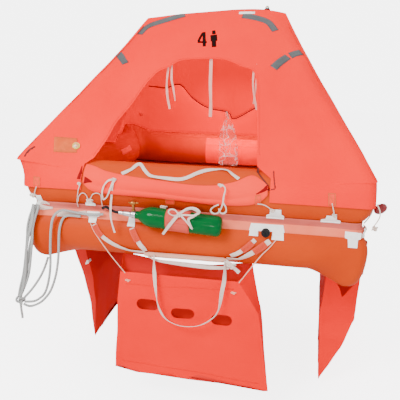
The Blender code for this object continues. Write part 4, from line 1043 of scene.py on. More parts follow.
def pocket_shell(name, side, levels):
    """The bag's shell: loops from the mouth to the foot, where both walls meet, with folds."""
    table = [dict(zip(POCKET_COLUMNS, level)) for level in levels]
    table[-1]["back_out"] = table[-1]["front_out"] = (table[-1]["back_out"] + table[-1]["front_out"]) / 2
    table[-1]["back_out"] -= CLOTH_EDGE
    table[-1]["front_out"] += CLOTH_EDGE
    rows = []
    for upper, lower in zip(table, table[1:]):
        for step in range(LEVEL_STEPS):
            share = step / LEVEL_STEPS
            rows.append(pocket_ring({key: upper[key] + (lower[key] - upper[key]) * share for key in upper}))
    rows.append(pocket_ring(table[-1]))
    turn = Matrix.Rotation(side * pi / 2, 4, "Z")
    total = len(rows)
    for i, row in enumerate(rows):
        down = i / (total - 1)
        for j, point in enumerate(row):
            calm = min(1.0, down * 6) * (1.0 - 0.55 * down)
            wall = 1.0 if j in FRONT_WALL or j in BACK_WALL else 0.5
            away = 1 if j in FRONT_WALL else -1
            wave = 0.01 * noise.noise(Vector((point.x * 3.4 + side * 7, point.z * 1.6, away * 3.0)))
            wave += 0.004 * noise.noise(Vector((point.x * 11 + side * 5, point.z * 5, away * 2.0)))
            point.y += wave * calm * wall
            if i == total - 1:
                point.z += 0.006 * noise.noise(Vector((point.x * 9 + side, 0.5, 0)))
    rows = [[turn @ point for point in row] for row in rows]
    mesh = grid_mesh(name, rows, wrap_rows=True, outward=False)
    work = bmesh.new()
    work.from_mesh(mesh)
    last = len(rows[0])
    edges = [e for e in work.edges if e.is_boundary and all(v.index >= len(work.verts) - last for v in e.verts)]
    bmesh.ops.holes_fill(work, edges=edges, sides=0)
    bmesh.ops.recalc_face_normals(work, faces=work.faces)
    work.to_mesh(mesh)
    work.free()
    return mesh


def outward_shell(item):
    """Turns an open bag's faces outwards: away from the bag's middle."""
    middle = sum((v.co for v in item.data.vertices), Vector()) / len(item.data.vertices)
    if sum((f.center - middle).dot(f.normal) * f.area for f in item.data.polygons) < 0:
        item.data.flip_normals()


HOLES = ((-0.215, -0.244, 0.058, 0.031), (-0.025, -0.272, 0.06, 0.028), (0.172, -0.29, 0.056, 0.031))


def stadium(x, height, half_width, half_height):
    """The outline of a long hole with round ends."""
    outline = []
    for side, first in ((1, -90), (-1, 90)):
        for k in range(13):
            angle = radians(first + 180 * k / 12)
            across, rise = half_height * cos(angle), half_height * sin(angle)
            outline.append((x + side * (half_width - half_height) + across, height + rise))
    return outline


def crumple(item, low, high, strength):
    """Limp cloth: waves and creases that grow towards the foot of a bag. The lining moves with the cloth."""
    for vertex in item.data.vertices:
        point = vertex.co
        deep = max(0.0, min(1.0, (high - point.z) / (high - low)))
        loose = sin(pi * min(1.0, deep * 1.15 + 0.06)) * 0.5 + deep * 0.5
        wide = noise.noise(Vector((point.x * 5, point.y * 5, point.z * 8)))
        fine = noise.noise(Vector((point.x * 15, point.y * 15, point.z * 21 + 4)))
        third = noise.noise(Vector((point.x * 6 + 9, point.y * 6, point.z * 5)))
        foot = noise.noise(Vector((point.x * 9, point.y * 9, 2.0)))
        foot += 0.5 * noise.noise(Vector((point.x * 21, point.y * 21, 7.0)))
        sway = Vector((0.01 * third, 0.011 * wide + 0.0035 * fine, 0)) * (loose * strength)
        vertex.co = point + sway + Vector((0, 0, 0.03 * foot * deep ** 5))


for name, side, levels in POCKETS:
    bag = show(
        name + "_cloth", pocket_shell(name + "_cloth", side, levels), [pocket_cloth, pocket_painted_shade],
        [name], angle=50
    )
    outward_shell(bag)
    thicken(bag, 0.0016, -1, inner=1)
    if side == 0:
        for hole in HOLES:
            cut_away(bag, prism("hole", stadium(*hole), -0.95, -0.79))
    # Faces of the left pocket that look forward take the darker inner finish: painted shade.
    if name == "pocket_left":
        for face in bag.data.polygons:
            if face.normal.y < -0.4:
                face.material_index = 1
    heights = [v.co.z for v in bag.data.vertices]
    if name == "pocket_right":
        # The end wall's hem sags between its corners, which shows the inside, painted dark as shade.
        near, top = min(v.co.y for v in bag.data.vertices), max(heights)
        across = [v.co.x for v in bag.data.vertices if v.co.z > top - 0.05]
        left, wide_end = min(across), max(across) - min(across)
        for vertex in bag.data.vertices:
            end_share = max(0.0, min(1.0, (near + 0.1 - vertex.co.y) / 0.06))
            place = max(0.0, min(1.0, (vertex.co.x - left) / wide_end))
            depth = max(0.0, 1 - (top - vertex.co.z) / 0.35)
            vertex.co.z -= 0.095 * end_share * sin(pi * place) ** 0.8 * depth ** 1.5
    crumple(bag, min(heights), max(heights), 1.8 if name == "pocket_right" else 1.35)
    wide = abs(levels[0][1] - levels[0][0]) * 2 + 0.3
    print(name, len(bag.data.polygons), "faces")


# %% [markdown]
# ## Placing details by sight
# Tapes, patches and stitched lines lie on a surface that is already made. A detail's place is read off
# the photograph as a pixel, and a ray from the camera through that pixel finds the surface there. The
# detail is then laid on that surface and follows its curve, so that it is seated from any side.

# %% Finding surfaces
def surface_of(*items):
    """A search tree of one or more finished pieces."""
    points, faces = [], []
    for item in items:
        start = len(points)
        points += [v.co.copy() for v in item.data.vertices]
        faces += [[start + i for i in f.vertices] for f in item.data.polygons]
    return BVHTree.FromPolygons(points, faces)


EYE = camera.location.copy()


def sight(px, py):
    middle = FRAME_PIXELS / 2
    return (ahead * LENS_PIXELS + right * (px - middle) - upright * (py - middle)).normalized()


def at_pixel(surface, px, py, lift=0.0):
    """Where the camera's ray through a pixel meets a surface, lifted off it, and the way it faces."""
    spot, facing, _, _ = surface.ray_cast(EYE, sight(px, py))
    if spot is None:
        raise ValueError(f"no surface at pixel {px}, {py}")
    if facing.dot(sight(px, py)) > 0:
        facing = -facing
    return spot + facing * lift, facing


def on_plane_y(px, py, y):
    """Where the ray through a pixel meets the upright plane at this y."""
    way = sight(px, py)
    return EYE + way * ((y - EYE.y) / way.y)


def settle(surface, point, facing, lift):
    """The nearest place on a surface under a point, lifted off it."""
    spot, normal, _, _ = surface.ray_cast(point + facing * 0.05, -facing, 0.12)
    if spot is None:
        spot, normal, _, _ = surface.find_nearest(point)
    if normal.dot(facing) < 0:
        normal = -normal
    return spot + normal * lift


def strip_on(
    name, surface, pixels, width, finish, lift=0.0006, thickness=0.0008, step=0.01, lanes=4,
    ends=None
):
    """A flat strip that lies on a surface along a line of pixels."""
    hits = [at_pixel(surface, px, py) for px, py in pixels]
    path = even_run([spot for spot, _ in hits], 6, step)
    facings = [min(hits, key=lambda hit: (hit[0] - point).length)[1] for point in path]
    rows = []
    for i, (point, facing) in enumerate(zip(path, facings)):
        side = heading(path, i).normalized().cross(facing).normalized()
        half = width / 2 * (ends(i / (len(path) - 1)) if ends else 1.0)
        rows.append(
            [settle(surface, point + side * half * (2 * k / lanes - 1), facing, lift) for k in range(lanes + 1)]
        )
    mesh = sheet_mesh(name, rows, sum(facings, Vector()).normalized())
    return thicken(show(name, mesh, finish), thickness, 1)


tent_surface = surface_of(tent)
front_surface = surface_of(tent, flap, upper_tube)
print("tent surface ready")

# %% [markdown]
# ## On the tent
# Grey reflective tapes, a bare place for a label, and the plain sign for how many the raft holds: a
# number and a simple figure of strokes. The tapes are matt grey by day, with a fine grid of cells.

# %% Tapes and marks
def tape_finish(name, bright, dark):
    made, tree, shader = begin(name, 0.45, 0.0, 0.4)
    where = add(tree, "UVMap", uv_map="UVMap").outputs[0]
    cells = add(tree, "TexVoronoi", links={"Vector": where, "Scale": 250.0})
    cloudy = add(
        tree, "TexNoise", links={"Vector": add(tree, "TexCoord").outputs["Object"], "Scale": 14.0, "Detail": 5.0}
    )
    share = math_node(
        tree, "MULTIPLY_ADD", cells.outputs[0], 0.25, math_node(tree, "MULTIPLY_ADD", cloudy.outputs[0], 0.9, -0.2),
        clamp=True
    )
    tree.links.new(mix_colour(tree, share, bright, dark), shader.inputs["Base Color"])
    emboss(tree, shader, cells.outputs[0], 0.3, 0.0004)
    return made


grey_tape = tape_finish("grey_tape", paint(0.072, 0.078, 0.08), paint(0.03, 0.032, 0.033))
mark_ink = cloth_finish(
    "mark_ink", paint(0.006, 0.002, 0.002), paint(0.012, 0.004, 0.003), paint(0.08, 0.014, 0.008), rough=0.6,
    patch=30.0, bump=0.15, specular=0.03
)
label_cloth = cloth_finish(
    "label_cloth", paint(0.62, 0.075, 0.01), paint(0.7, 0.11, 0.02), paint(0.4, 0.08, 0.02), rough=0.5, patch=24.0,
    dust_amount=0.6, bump=0.2
)
dark_thread = webbing_finish(
    "dark_thread", paint(0.13, 0.006, 0.004), paint(0.04, 0.003, 0.002), rib=0.002, row=0.002
)
TAPES = (
    ("tape_top_left", ((139.5, 34.5), (148, 26.5), (166, 20.2), (185, 14.8)), 0.046),
    ("tape_top_right", ((242.5, 15.6), (257, 18.2), (268.5, 22.5), (275.5, 31.0)), 0.043),
    ("tape_right_low", ((273.5, 68.0), (280.5, 61.8), (288.0, 56.8)), 0.046),
    ("tape_right_high", ((290.0, 55.8), (296.0, 53.6), (301.5, 52.5)), 0.046),
    ("tape_left", ((118.3, 53.4), (122.2, 58.6), (125.6, 63.6)), 0.04),
)
for name, pixels, width in TAPES:
    strip_on(name, tent_surface, pixels, width, grey_tape)
strip_on(
    "label_place", tent_surface, ((53.8, 144.2), (64.8, 145.0), (77.2, 145.6)), 0.085, label_cloth
)
STROKES = (
    ("mark_four_slope", ((203.0, 33.0), (200.4, 37.4), (198.4, 41.4)), 0.013),
    ("mark_four_bar", ((197.8, 42.0), (202.0, 42.1), (206.8, 42.2)), 0.013),
    ("mark_four_stem", ((203.9, 32.2), (204.2, 39.0), (204.3, 46.4)), 0.017),
    ("mark_figure_head", ((213.7, 30.6), (213.9, 32.4), (214.0, 34.2)), 0.019),
    ("mark_figure_body", ((213.7, 35.0), (213.9, 38.0), (214.1, 41.0)), 0.037),
    ("mark_figure_legs", ((213.9, 40.0), (214.0, 43.4), (214.1, 47.0)), 0.024),
)
for name, pixels, width in STROKES:
    strip_on(
        name, tent_surface, pixels, width, mark_ink, lift=0.0005, thickness=0.0004, step=0.006, lanes=3
    )
LINES = (
    ("slit_left", ((24.6, 156.5), (28.5, 150.5), (35.0, 146.5)), 0.007),
    ("slit_left_upper", ((27.5, 153.0), (30.5, 149.5), (33.0, 148.5)), 0.006),
    ("slit_right", ((256.8, 171.4), (262.0, 178.2), (268.6, 186.6)), 0.008),
    ("seam_corner_down", ((273.6, 171.0), (274.2, 180.0), (275.2, 188.4)), 0.005),
    ("seam_corner_in", ((275.0, 189.0), (271.0, 189.8), (267.6, 190.2)), 0.005),
)
for name, pixels, width in LINES:
    strip_on(
        name, front_surface, pixels, width, dark_thread, lift=0.0004, thickness=0.0008, step=0.006,
        lanes=2
    )
hem = []
for x, h, _ in smooth_path([(x, h, 0) for x, h in ENTRANCE[:-1]] + [(0.3, 0.54, 0)], 6):
    start = Vector((x * 1.012 + (0.004 if x > 0 else -0.004), -1.2, up(h + 0.006)))
    hit, _, _, _ = tent_surface.ray_cast(start, Vector((0, 1, 0)))
    if hit is not None and -0.86 < hit.y < 0:
        hem.append(hit + Vector((0, -0.001, 0.0004)))
show_tube("entrance_binding", evenly(hem, 0.012), 0.0032, 8, tent_cloth)
print("marks on the tent:", len(TAPES) + len(STROKES) + len(LINES))


# %% [markdown]
# ## The seam between the tubes
# A pink rubber tape is glued over the seam all round. It dips into the groove between the tubes, dark
# above the groove and pale where it bulges over the lower tube. White rubber patches sit on it and
# hold the lines, each cut like a T and glued flat.

# %% Seam band
BAND = (
    (0.1965, 0.8226), (0.202, 0.8212), (0.21, 0.818), (0.219, 0.815), (0.229, 0.8122), (0.237, 0.8085),
    (0.2425, 0.8025), (0.248, 0.803), (0.257, 0.8062), (0.268, 0.81)
)


def band_distance(spot, height, out):
    centre, outer, _, _ = section_shape(spot)
    middle = TUBE_RADIUS if height < 0.24 else 3 * TUBE_RADIUS
    cosine = sqrt(max(0.0, 1 - ((height - middle) / TUBE_RADIUS) ** 2))
    return centre + outer * cosine + out - (TUBE_LINE + TUBE_RADIUS * cosine)


rows = []
for spot in SPOTS:
    row = []
    for k, (h, out) in enumerate(BAND):
        x, y = plan_point(*spot, band_distance(spot, h, out))
        wander = 0.001 * noise.noise(Vector((x * 9, y * 9, k * 0.35)))
        h += 0.0012 * noise.noise(Vector((x * 6, y * 6, 3)))
        row.append(Vector((x * (1 + wander), y * (1 + wander), up(h))))
    rows.append(row)
tape_shadow = cloth_finish(
    "tape_shadow", paint(0.46, 0.07, 0.052), paint(0.56, 0.11, 0.08), paint(0.4, 0.04, 0.016), rough=0.5, patch=5.0,
    crease=14.0, bump=0.25, specular=0.2
)
band = show(
    "seam_band_tape", grid_mesh("seam_band_tape", rows, wrap_columns=True, outward=False), [seam_tape, tape_shadow],
    ["seam_band"]
)
for face in band.data.polygons:
    face.material_index = 1 if face.center.z > up(0.237) else 0
if sum(f.normal.dot(Vector((f.center.x, f.center.y, 0))) * f.area for f in band.data.polygons) < 0:
    band.data.flip_normals()
thicken(band, 0.0014, -1)
print("band:", len(band.data.polygons), "faces")

# %% Patches
def patch_distance(x, height):
    """How far out a patch lies: on the tube, or on the band where that stands further out."""
    skin_at = front_skin(x, height)
    if not BAND[0][0] <= height <= BAND[-1][0]:
        return skin_at
    return max(skin_at, band_distance(front_spot(x), height, between(BAND, height)))


# Name, x, lowest and highest height, half width, and the width's share from the top edge to the bottom one.
TEE = ((0, 1), (0.42, 1), (0.5, 0.62), (1, 0.56))
FOOT = ((0, 0.52), (0.5, 0.56), (0.62, 1), (1, 1))
BLOCK = ((0, 0.9), (1, 1))
PATCHES = (
    ("patch_1", -0.498, 0.18, 0.232, 0.034, TEE), ("patch_2", -0.513, 0.262, 0.3, 0.026, FOOT),
    ("patch_3", 0.405, 0.262, 0.316, 0.042, ((0, 0.6), (0.5, 0.66), (0.66, 1), (1, 1))),
    ("patch_4", 0.663, 0.262, 0.302, 0.045, FOOT), ("patch_5", 0.37, 0.199, 0.232, 0.085, BLOCK),
    ("patch_5_left", 0.309, 0.176, 0.204, 0.022, BLOCK), ("patch_5_right", 0.424, 0.165, 0.204, 0.029, BLOCK),
    ("patch_6", 0.77, 0.157, 0.227, 0.037, TEE),
    ("patch_7", -0.776, 0.225, 0.305, 0.026, FOOT), ("patch_8", -0.297, 0.176, 0.226, 0.02, ((0, 0.7), (1, 1))),
)
for name, x, low, high, half, table in PATCHES:
    rows = []
    for i in range(15):
        share = i / 14
        h = high + (low - high) * share
        wide = half * between(table, share)
        row = []
        for k in range(11):
            at_x = x + wide * (k / 5 - 1)
            reach = max(patch_distance(at_x + d, h) for d in (-0.004, 0.0, 0.004))
            lump = 0.0012 * noise.noise(Vector((at_x * 40, h * 40, 2.0)))
            row.append(Vector((at_x, -(reach + 0.0016 + lump), up(h))))
        rows.append(row)
    mesh = sheet_mesh(name + "_rubber", rows)
    patch = show(name + "_rubber", mesh, patch_rubber, nodes=[name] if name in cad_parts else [])
    thicken(patch, 0.0026, 1)
    rim = patch.modifiers.new("rim", "BEVEL")
    rim.width, rim.segments, rim.limit_method, rim.angle_limit = 0.0008, 2, "ANGLE", radians(50)
    apply_modifiers(patch)
rows = []
for step in range(19):
    share = step / 18
    spot = (0, 1, 45 + 45 * share / 0.7) if share < 0.7 else (1, -1 + 0.04 * (share - 0.7) / 0.3, None)
    row = []
    for k in range(7):
        h = 0.199 + 0.046 * k / 6
        out = max(between(BAND, h) + 0.0018, 0.815 + 0.004 * sin(pi * k / 6))
        x, y = plan_point(*spot, band_distance(spot, h, out))
        row.append(Vector((x, y, up(h))))
    rows.append(row)
mesh = sheet_mesh("corner_patch", rows, Vector((1, 0, 0)))
thicken(show("corner_patch", mesh, patch_rubber, nodes=["patch_9"]), 0.0026, 1)
print("patches:", len(PATCHES) + 1)

# %% [markdown]
# ## The gas cylinder
# The cylinder fills the tubes when the painter is pulled. It is painted steel with a brass firing
# head. Turned parts are spun from half a profile, as on a lathe: the profile is drawn along the axis
# and the spin operator sweeps it round.

# %% Spun parts
def spun(name, profile, start, axis, finish, nodes=(), steps=48):
    """A turned part: a profile of (radius, distance along the axis) swept round by the spin operator."""
    axis = Vector(axis).normalized()
    side = axis.orthogonal().normalized()
    mesh = bpy.data.meshes.new(name)
    points = [Vector(start) + axis * distance + side * radius for radius, distance in profile]
    mesh.from_pydata(points, [(i, i + 1) for i in range(len(points) - 1)], [])
    item = linked(name, mesh)
    pick(item)
    bpy.ops.object.mode_set(mode="EDIT")
    bpy.ops.mesh.select_all(action="SELECT")
    bpy.ops.mesh.spin(steps=steps, angle=2 * pi, center=start, axis=axis)
    bpy.ops.mesh.select_all(action="SELECT")
    bpy.ops.mesh.remove_doubles(threshold=0.00002)
    bpy.ops.mesh.normals_make_consistent(inside=False)
    bpy.ops.object.mode_set(mode="OBJECT")
    return dress(item, finish, nodes, 30)


def metal_finish(name, bright, dull, rough, metal=1.0, specular=0.5):
    made, tree, shader = begin(name, rough, metal, specular)
    coords = add(tree, "TexCoord").outputs["Object"]
    marks = add(tree, "TexNoise", links={"Vector": coords, "Scale": 30.0, "Detail": 6.0, "Roughness": 0.65})
    share = add(tree, "MapRange", links={0: marks.outputs[0], 1: 0.45, 2: 0.72}).outputs[0]
    tree.links.new(mix_colour(tree, share, bright, dull), shader.inputs["Base Color"])
    tree.links.new(math_node(tree, "MULTIPLY_ADD", share, 0.22, rough), shader.inputs["Roughness"])
    emboss(tree, shader, marks.outputs[0], 0.08, 0.002)
    return made


# %% Cylinder, head and hose
green_paint = metal_finish("green_paint", paint(0.0001, 0.086, 0.018), paint(0.0002, 0.07, 0.015), 0.07, 0.0, 0.09)
silver = metal_finish("silver", paint(0.62, 0.62, 0.62), paint(0.36, 0.35, 0.34), 0.28)
brass = metal_finish("brass", paint(0.46, 0.2, 0.05), paint(0.2, 0.075, 0.02), 0.35)
black_rubber = metal_finish("black_rubber", paint(0.006, 0.006, 0.007), paint(0.016, 0.015, 0.015), 0.45, 0.0, 0.15)
red_plastic = metal_finish("red_plastic", paint(0.2, 0.0015, 0.0035), paint(0.28, 0.004, 0.008), 0.35, metal=0.0)
lamp_plastic = metal_finish("lamp_plastic", paint(0.55, 0.42, 0.03), paint(0.75, 0.66, 0.1), 0.25, metal=0.0)
TILT = radians(4.0)
CYLINDER_Y, CYLINDER_RADIUS = -0.8792, 0.05
MIDDLE = Vector((-0.05, CYLINDER_Y, up(0.236)))
AXIS = Vector((-cos(TILT), 0, sin(TILT)))
profile = [
    (0.0, -0.2085), (0.01, -0.21), (0.02, -0.21), (0.03, -0.2088), (0.038, -0.2055), (0.0445, -0.2),
    (0.0482, -0.1935), (0.0498, -0.186), (CYLINDER_RADIUS, -0.178), (CYLINDER_RADIUS, 0.12), (0.0497, 0.13),
    (0.0485, 0.141), (0.046, 0.152), (0.042, 0.163), (0.0365, 0.173), (0.03, 0.182), (0.0245, 0.189),
    (0.0205, 0.196), (0.019, 0.202), (0.019, 0.2085), (0.0178, 0.21), (0.0, 0.21)
]
spun("cylinder_body", profile, MIDDLE, AXIS, green_paint, ["gas_cylinder"], steps=72)
head_at = MIDDLE + AXIS * 0.2104
profile = [
    (0.0, 0.0), (0.0165, 0.0), (0.019, 0.002), (0.019, 0.008), (0.0176, 0.009), (0.0176, 0.011), (0.019, 0.012),
    (0.019, 0.019), (0.017, 0.022), (0.013, 0.025), (0.013, 0.03), (0.0142, 0.031), (0.0142, 0.036), (0.013, 0.037),
    (0.0126, 0.058), (0.0105, 0.063), (0.009, 0.067), (0.009, 0.072), (0.01, 0.073), (0.01, 0.079), (0.009, 0.08),
    (0.0088, 0.085), (0.0, 0.085)
]
spun("head_body", profile, head_at, AXIS, silver, ["cylinder_head"], steps=40)
valve_at = head_at + AXIS * 0.012 + Vector((0, 0, 0.019))
profile = [
    (0.0, 0.0), (0.01, 0.0), (0.01, 0.006), (0.007, 0.008), (0.0062, 0.026), (0.008, 0.03), (0.015, 0.033),
    (0.0175, 0.036), (0.0175, 0.044), (0.016, 0.0465), (0.008, 0.048), (0.006, 0.05), (0.0, 0.0502)
]
spun("valve_body", profile, valve_at, (-0.05, 0, 1), brass, ["firing_valve"], steps=36)
profile = [(0.0, 0.0), (0.0055, 0.0), (0.005, 0.012), (0.0044, 0.018), (0.003, 0.0205), (0.0, 0.021)]
for number, aside in enumerate((-1, 1), start=1):
    arm_at = valve_at + Vector((0.004 * aside, 0, 0.0415))
    spun(f"valve_arm_{number}", profile, arm_at, (aside, 0, -0.12), brass, steps=20)
hose_start = head_at + AXIS * 0.084
stops = [
    hose_start, hose_start + AXIS * 0.02, hose_start + Vector((-0.045, 0.012, 0.006)),
    hose_start + Vector((-0.075, 0.03, 0.014)), Vector((hose_start.x - 0.1, -0.826, up(0.258)))
]
hose_path = even_run(stops, 8, 0.003)
ribs = [1.0 + 0.05 * sin(i * 1.6) + (0.25 if i < 3 or i > len(hose_path) - 4 else 0.0) for i in range(len(hose_path))]
show_tube("hose", hose_path, 0.0063, 16, black_rubber, ["inflation_hose"], ribs)
print("cylinder group made")

# %% Strap round the cylinder
rows = []
for k in range(73):
    angle = 2 * pi * k / 72
    outward = Vector((0, -1, 0)) * cos(angle) + AXIS.cross(Vector((0, -1, 0))) * sin(angle)
    row = []
    for j in range(9):
        along = 0.057 * (j / 8 * 2 - 1)
        slack = abs(noise.noise(Vector((cos(angle) * 2, sin(angle) * 2, j * 0.4))))
        rise = 0.0508 + 0.001 * slack + (0.0008 if j in (1, 7) else 0.0)
        row.append(MIDDLE + outward * rise + AXIS * (along + 0.003 * sin(angle * 2)))
    rows.append(row)
mesh = grid_mesh("cylinder_band", rows, outward=False)
item = show("cylinder_band", mesh, salmon_strap, ["cylinder_strap"])
thicken(item, 0.0016, 1 if sum((f.center - MIDDLE).dot(f.normal) for f in mesh.polygons) > 0 else -1)
BOW_Y = CYLINDER_Y - CYLINDER_RADIUS - 0.0048
BOW = (
    (-0.113, 0.183), (-0.079, 0.237), (-0.036, 0.289), (0.014, 0.316), (0.052, 0.303), (0.03, 0.28), (0.006, 0.262),
    (0.022, 0.221)
)
path = even_run([(x, BOW_Y, up(h)) for x, h in BOW], 8, 0.006)
ribbon("bow_ribbon", path, 0.0115, 0.0015, to_front, nodes=["cylinder_ribbon"])
# The bow's ends and loops: pixels, how far in front of the bow's plane, width, turn, and the far end.
BOW_PARTS = (
    ("tail_left", ((179, 214.5), (173.5, 221), (167.5, 228.5), (162.7, 234.4)), 0.0025, 0.0105, 1.1, "bare"),
    ("tail_right", ((179.5, 214.5), (184.5, 219.5), (188.5, 224.5), (192.3, 229.3)), 0.0035, 0.0095, -1.1, "bare"),
    ("loop_right", ((180, 214), (187, 208.6), (195, 208.2), (199.7, 212.2), (194, 215.4), (186, 215.0), (180.5, 215)),
        0.0045, 0.008, 1.2, "object"),
    ("loop_left", ((178.6, 214), (174.5, 209.8), (169.8, 209.6), (168.6, 212.8), (173.0, 215.6), (178.4, 215)),
        0.0035, 0.007, -1.0, "object"),
)
for name, pixels, forward, width, twist, far_end in BOW_PARTS:
    path = even_run([on_plane_y(px, py, BOW_Y - forward) for px, py in pixels], 8, 0.006)
    faces = []
    for i in range(len(path)):
        turned = twist * i / len(path)
        faces.append(Vector((sin(turned) * 0.8, -1, sin(turned * 1.3) * 0.5)).normalized())
    ribbon("bow_" + name, path, width, 0.0014, faces)
tied("bow_knot", on_plane_y(179.3, 214.5, BOW_Y - 0.003), (0.008, 0.004, 0.01), 0.0036)
print("bow made")


# %% [markdown]
# ## Lines on the tube and the door
# Flat white ribbons lie over the front tube and hang over the let-down door. A ribbon never lies
# perfectly flat: its face turns about its own line, and its edge lifts off what it lies on. So each
# ribbon gets its line from the photograph and a small table of turns.

# %% Twisting ribbons
low_surface = surface_of(tent, flap, upper_tube, lower_tube, band)


def twisted(path, facing, table, width):
    """Turns a ribbon's face about its line by a table of (share, degrees), and lifts it clear of what it lies on."""
    lifted, faces = [], []
    for i, point in enumerate(path):
        angle = radians(between(table, i / (len(path) - 1)))
        forward = heading(path, i).normalized()
        base = facing(point)
        base = (base - forward * base.dot(forward)).normalized()
        faces.append(Matrix.Rotation(angle, 3, forward) @ base)
        lifted.append(point + base * width / 2 * abs(sin(angle)))
    return lifted, faces


def over(px, py, lift=0.004, y=None):
    """A place in front of the raft's skin at a pixel, no further back than the plane y."""
    spot, _ = at_pixel(low_surface, px, py, lift)
    return on_plane_y(px, py, y) if y is not None and y < spot.y else spot


def laid(pixels, lift=0.004, y=None, step=0.005):
    return even_run([over(px, py, lift, y) for px, py in pixels], 6, step)


def draped_ribbon(name, path, width, table, facing=to_front, thickness=0.0015, nodes=(), finish=None):
    path, faces = twisted(path, facing, table, width)
    if path_length(path) < 6.2 * width:
        # A tail this short is a piece of webbing, not a free cord.
        return show_strap(name, path, width, thickness, faces, finish or ribbon_weave, nodes=nodes)
    return ribbon(name, path, width, thickness, faces, finish, nodes)


# %% Ribbons on the tube and the door
BOARDING = (
    (-0.345, 0.436), (-0.309, 0.455), (-0.273, 0.476), (-0.234, 0.455), (-0.198, 0.435), (-0.129, 0.43),
    (-0.048, 0.43), (0.021, 0.456), (0.08, 0.472), (0.126, 0.477), (0.164, 0.474), (0.194, 0.46), (0.223, 0.446),
)
path = even_run([front_tube_point(x, h, 0.0024) for x, h in BOARDING], 6, 0.008)
TURNS_OVER = (
    (0, 20), (0.08, 0), (0.17, 48), (0.26, 0), (0.34, -26), (0.46, 6), (0.6, 14), (0.7, 40), (0.8, 0), (0.9, -22),
    (1, 0),
)
draped_ribbon("boarding_ribbon", path, 0.017, TURNS_OVER, off_upper, nodes=["boarding_line"])
free_end = ((111.2, 203.0), (110.7, 209.0), (110.6, 216.0), (112.4, 224.5), (114.8, 232.6))
path = laid(((114.0, 180.5), (112.4, 189.0), (111.8, 197.0)), 0.005, step=0.006)
path += even_run([on_plane_y(px, py, -0.885) for px, py in free_end], 6, 0.006)
path = even_run(path[::4] + [path[-1]], 3, 0.006)
turns = ((0, 30), (0.2, 0), (0.45, -35), (0.65, 0), (0.8, 30), (1, 10))
draped_ribbon("door_ribbon_tail", path, 0.01, turns, nodes=["flap_ribbon"])
door_loop = (
    (114.4, 179.6), (108.6, 180.8), (104.2, 186.0), (102.4, 193.0), (103.6, 198.2), (107.2, 196.4), (110.4, 189.5),
    (113.6, 181.4),
)
turns = ((0, 0), (0.2, 45), (0.45, 0), (0.6, -50), (1, 0))
draped_ribbon("door_ribbon_loop", laid(door_loop, 0.006), 0.01, turns)
tied("door_ribbon_knot", over(114.4, 180.2, 0.006), (0.01, 0.005, 0.009), 0.0034)
hook_loop = (
    (219.8, 185.6), (223.6, 185.8), (225.4, 189.6), (223.8, 196.0), (222.8, 203.0), (220.8, 209.0), (217.2, 213.3),
    (212.8, 213.2), (210.6, 210.2), (213.6, 206.8), (218.6, 204.6),
)
turns = ((0, 0), (0.15, 40), (0.3, 0), (0.55, -30), (0.75, 0), (0.9, 35), (1, 0))
draped_ribbon("door_hook_loop", laid(hook_loop, 0.005, -0.88), 0.0075, turns)
hook_side = ((222.9, 202.6), (225.6, 206.8), (226.2, 211.0), (223.4, 213.5), (220.2, 212.4), (218.8, 208.6))
turns = ((0, 0), (0.4, 30), (0.8, -20), (1, 0))
draped_ribbon("door_hook_side", laid(hook_side, 0.006, -0.8815), 0.0075, turns)
tied("door_hook_knot", over(220.6, 185.8, 0.005), (0.011, 0.004, 0.007), 0.0032)
print("ribbons on the door made")

# %% Stitched tabs, ties and lacing
stitch_thread = webbing_finish(
    "stitch_thread", paint(0.8, 0.11, 0.012), paint(0.45, 0.045, 0.004), rib=0.001, row=0.001
)
tab_cloth = cloth_finish(
    "tab_cloth", paint(0.86, 0.03, 0.008), paint(0.92, 0.045, 0.015), paint(0.6, 0.02, 0.006), rough=0.6,
    patch=20.0, bump=0.3
)


def sewn_line(name, surface, pixels, width=0.0036, lift=0.0016, closed=True):
    """A line of thick thread sewn along a run of pixels."""
    stops = []
    run = list(pixels) + ([pixels[0]] if closed else [])
    for (ax, ay), (bx, by) in zip(run, run[1:]):
        stops += [at_pixel(surface, ax + (bx - ax) * k / 6, ay + (by - ay) * k / 6, lift) for k in range(6)]
    stops.append(at_pixel(surface, *run[-1], lift))
    spots, facings = zip(*stops)
    show_strap(name, spots, width, 0.001, facings, stitch_thread)


TABS = (
    ("tab_left", ((34.0, 176.6), (39.6, 177.2), (40.0, 187.6), (34.2, 187.2))),
    ("tab_right", ((328.4, 193.4), (335.2, 193.8), (335.8, 206.0), (328.8, 205.6))),
    ("tab_door", ((255.6, 195.6), (260.4, 195.2), (260.8, 204.6), (255.4, 204.8))),
    ("tab_cylinder", ((165.4, 198.6), (174.6, 199.2), (174.2, 204.2), (165.8, 203.8))),
)
for name, corners in TABS:
    (ax, ay), (bx, by), (cx, cy), (dx, dy) = corners
    rows = []
    for i in range(7):
        s = i / 6
        left, far_side = (ax + (dx - ax) * s, ay + (dy - ay) * s), (bx + (cx - bx) * s, by + (cy - by) * s)
        row = []
        for k in range(6):
            px, py = (start + (end - start) * k / 5 for start, end in zip(left, far_side))
            row.append(at_pixel(low_surface, px, py, 0.0009)[0])
        rows.append(row)
    thicken(show(name, sheet_mesh(name, rows), tab_cloth), 0.001, 1)
    sewn_line(name + "_border", low_surface, corners, lift=0.0024)
    sewn_line(name + "_cross", low_surface, (corners[0], corners[2]), 0.0026, 0.0028, closed=False)
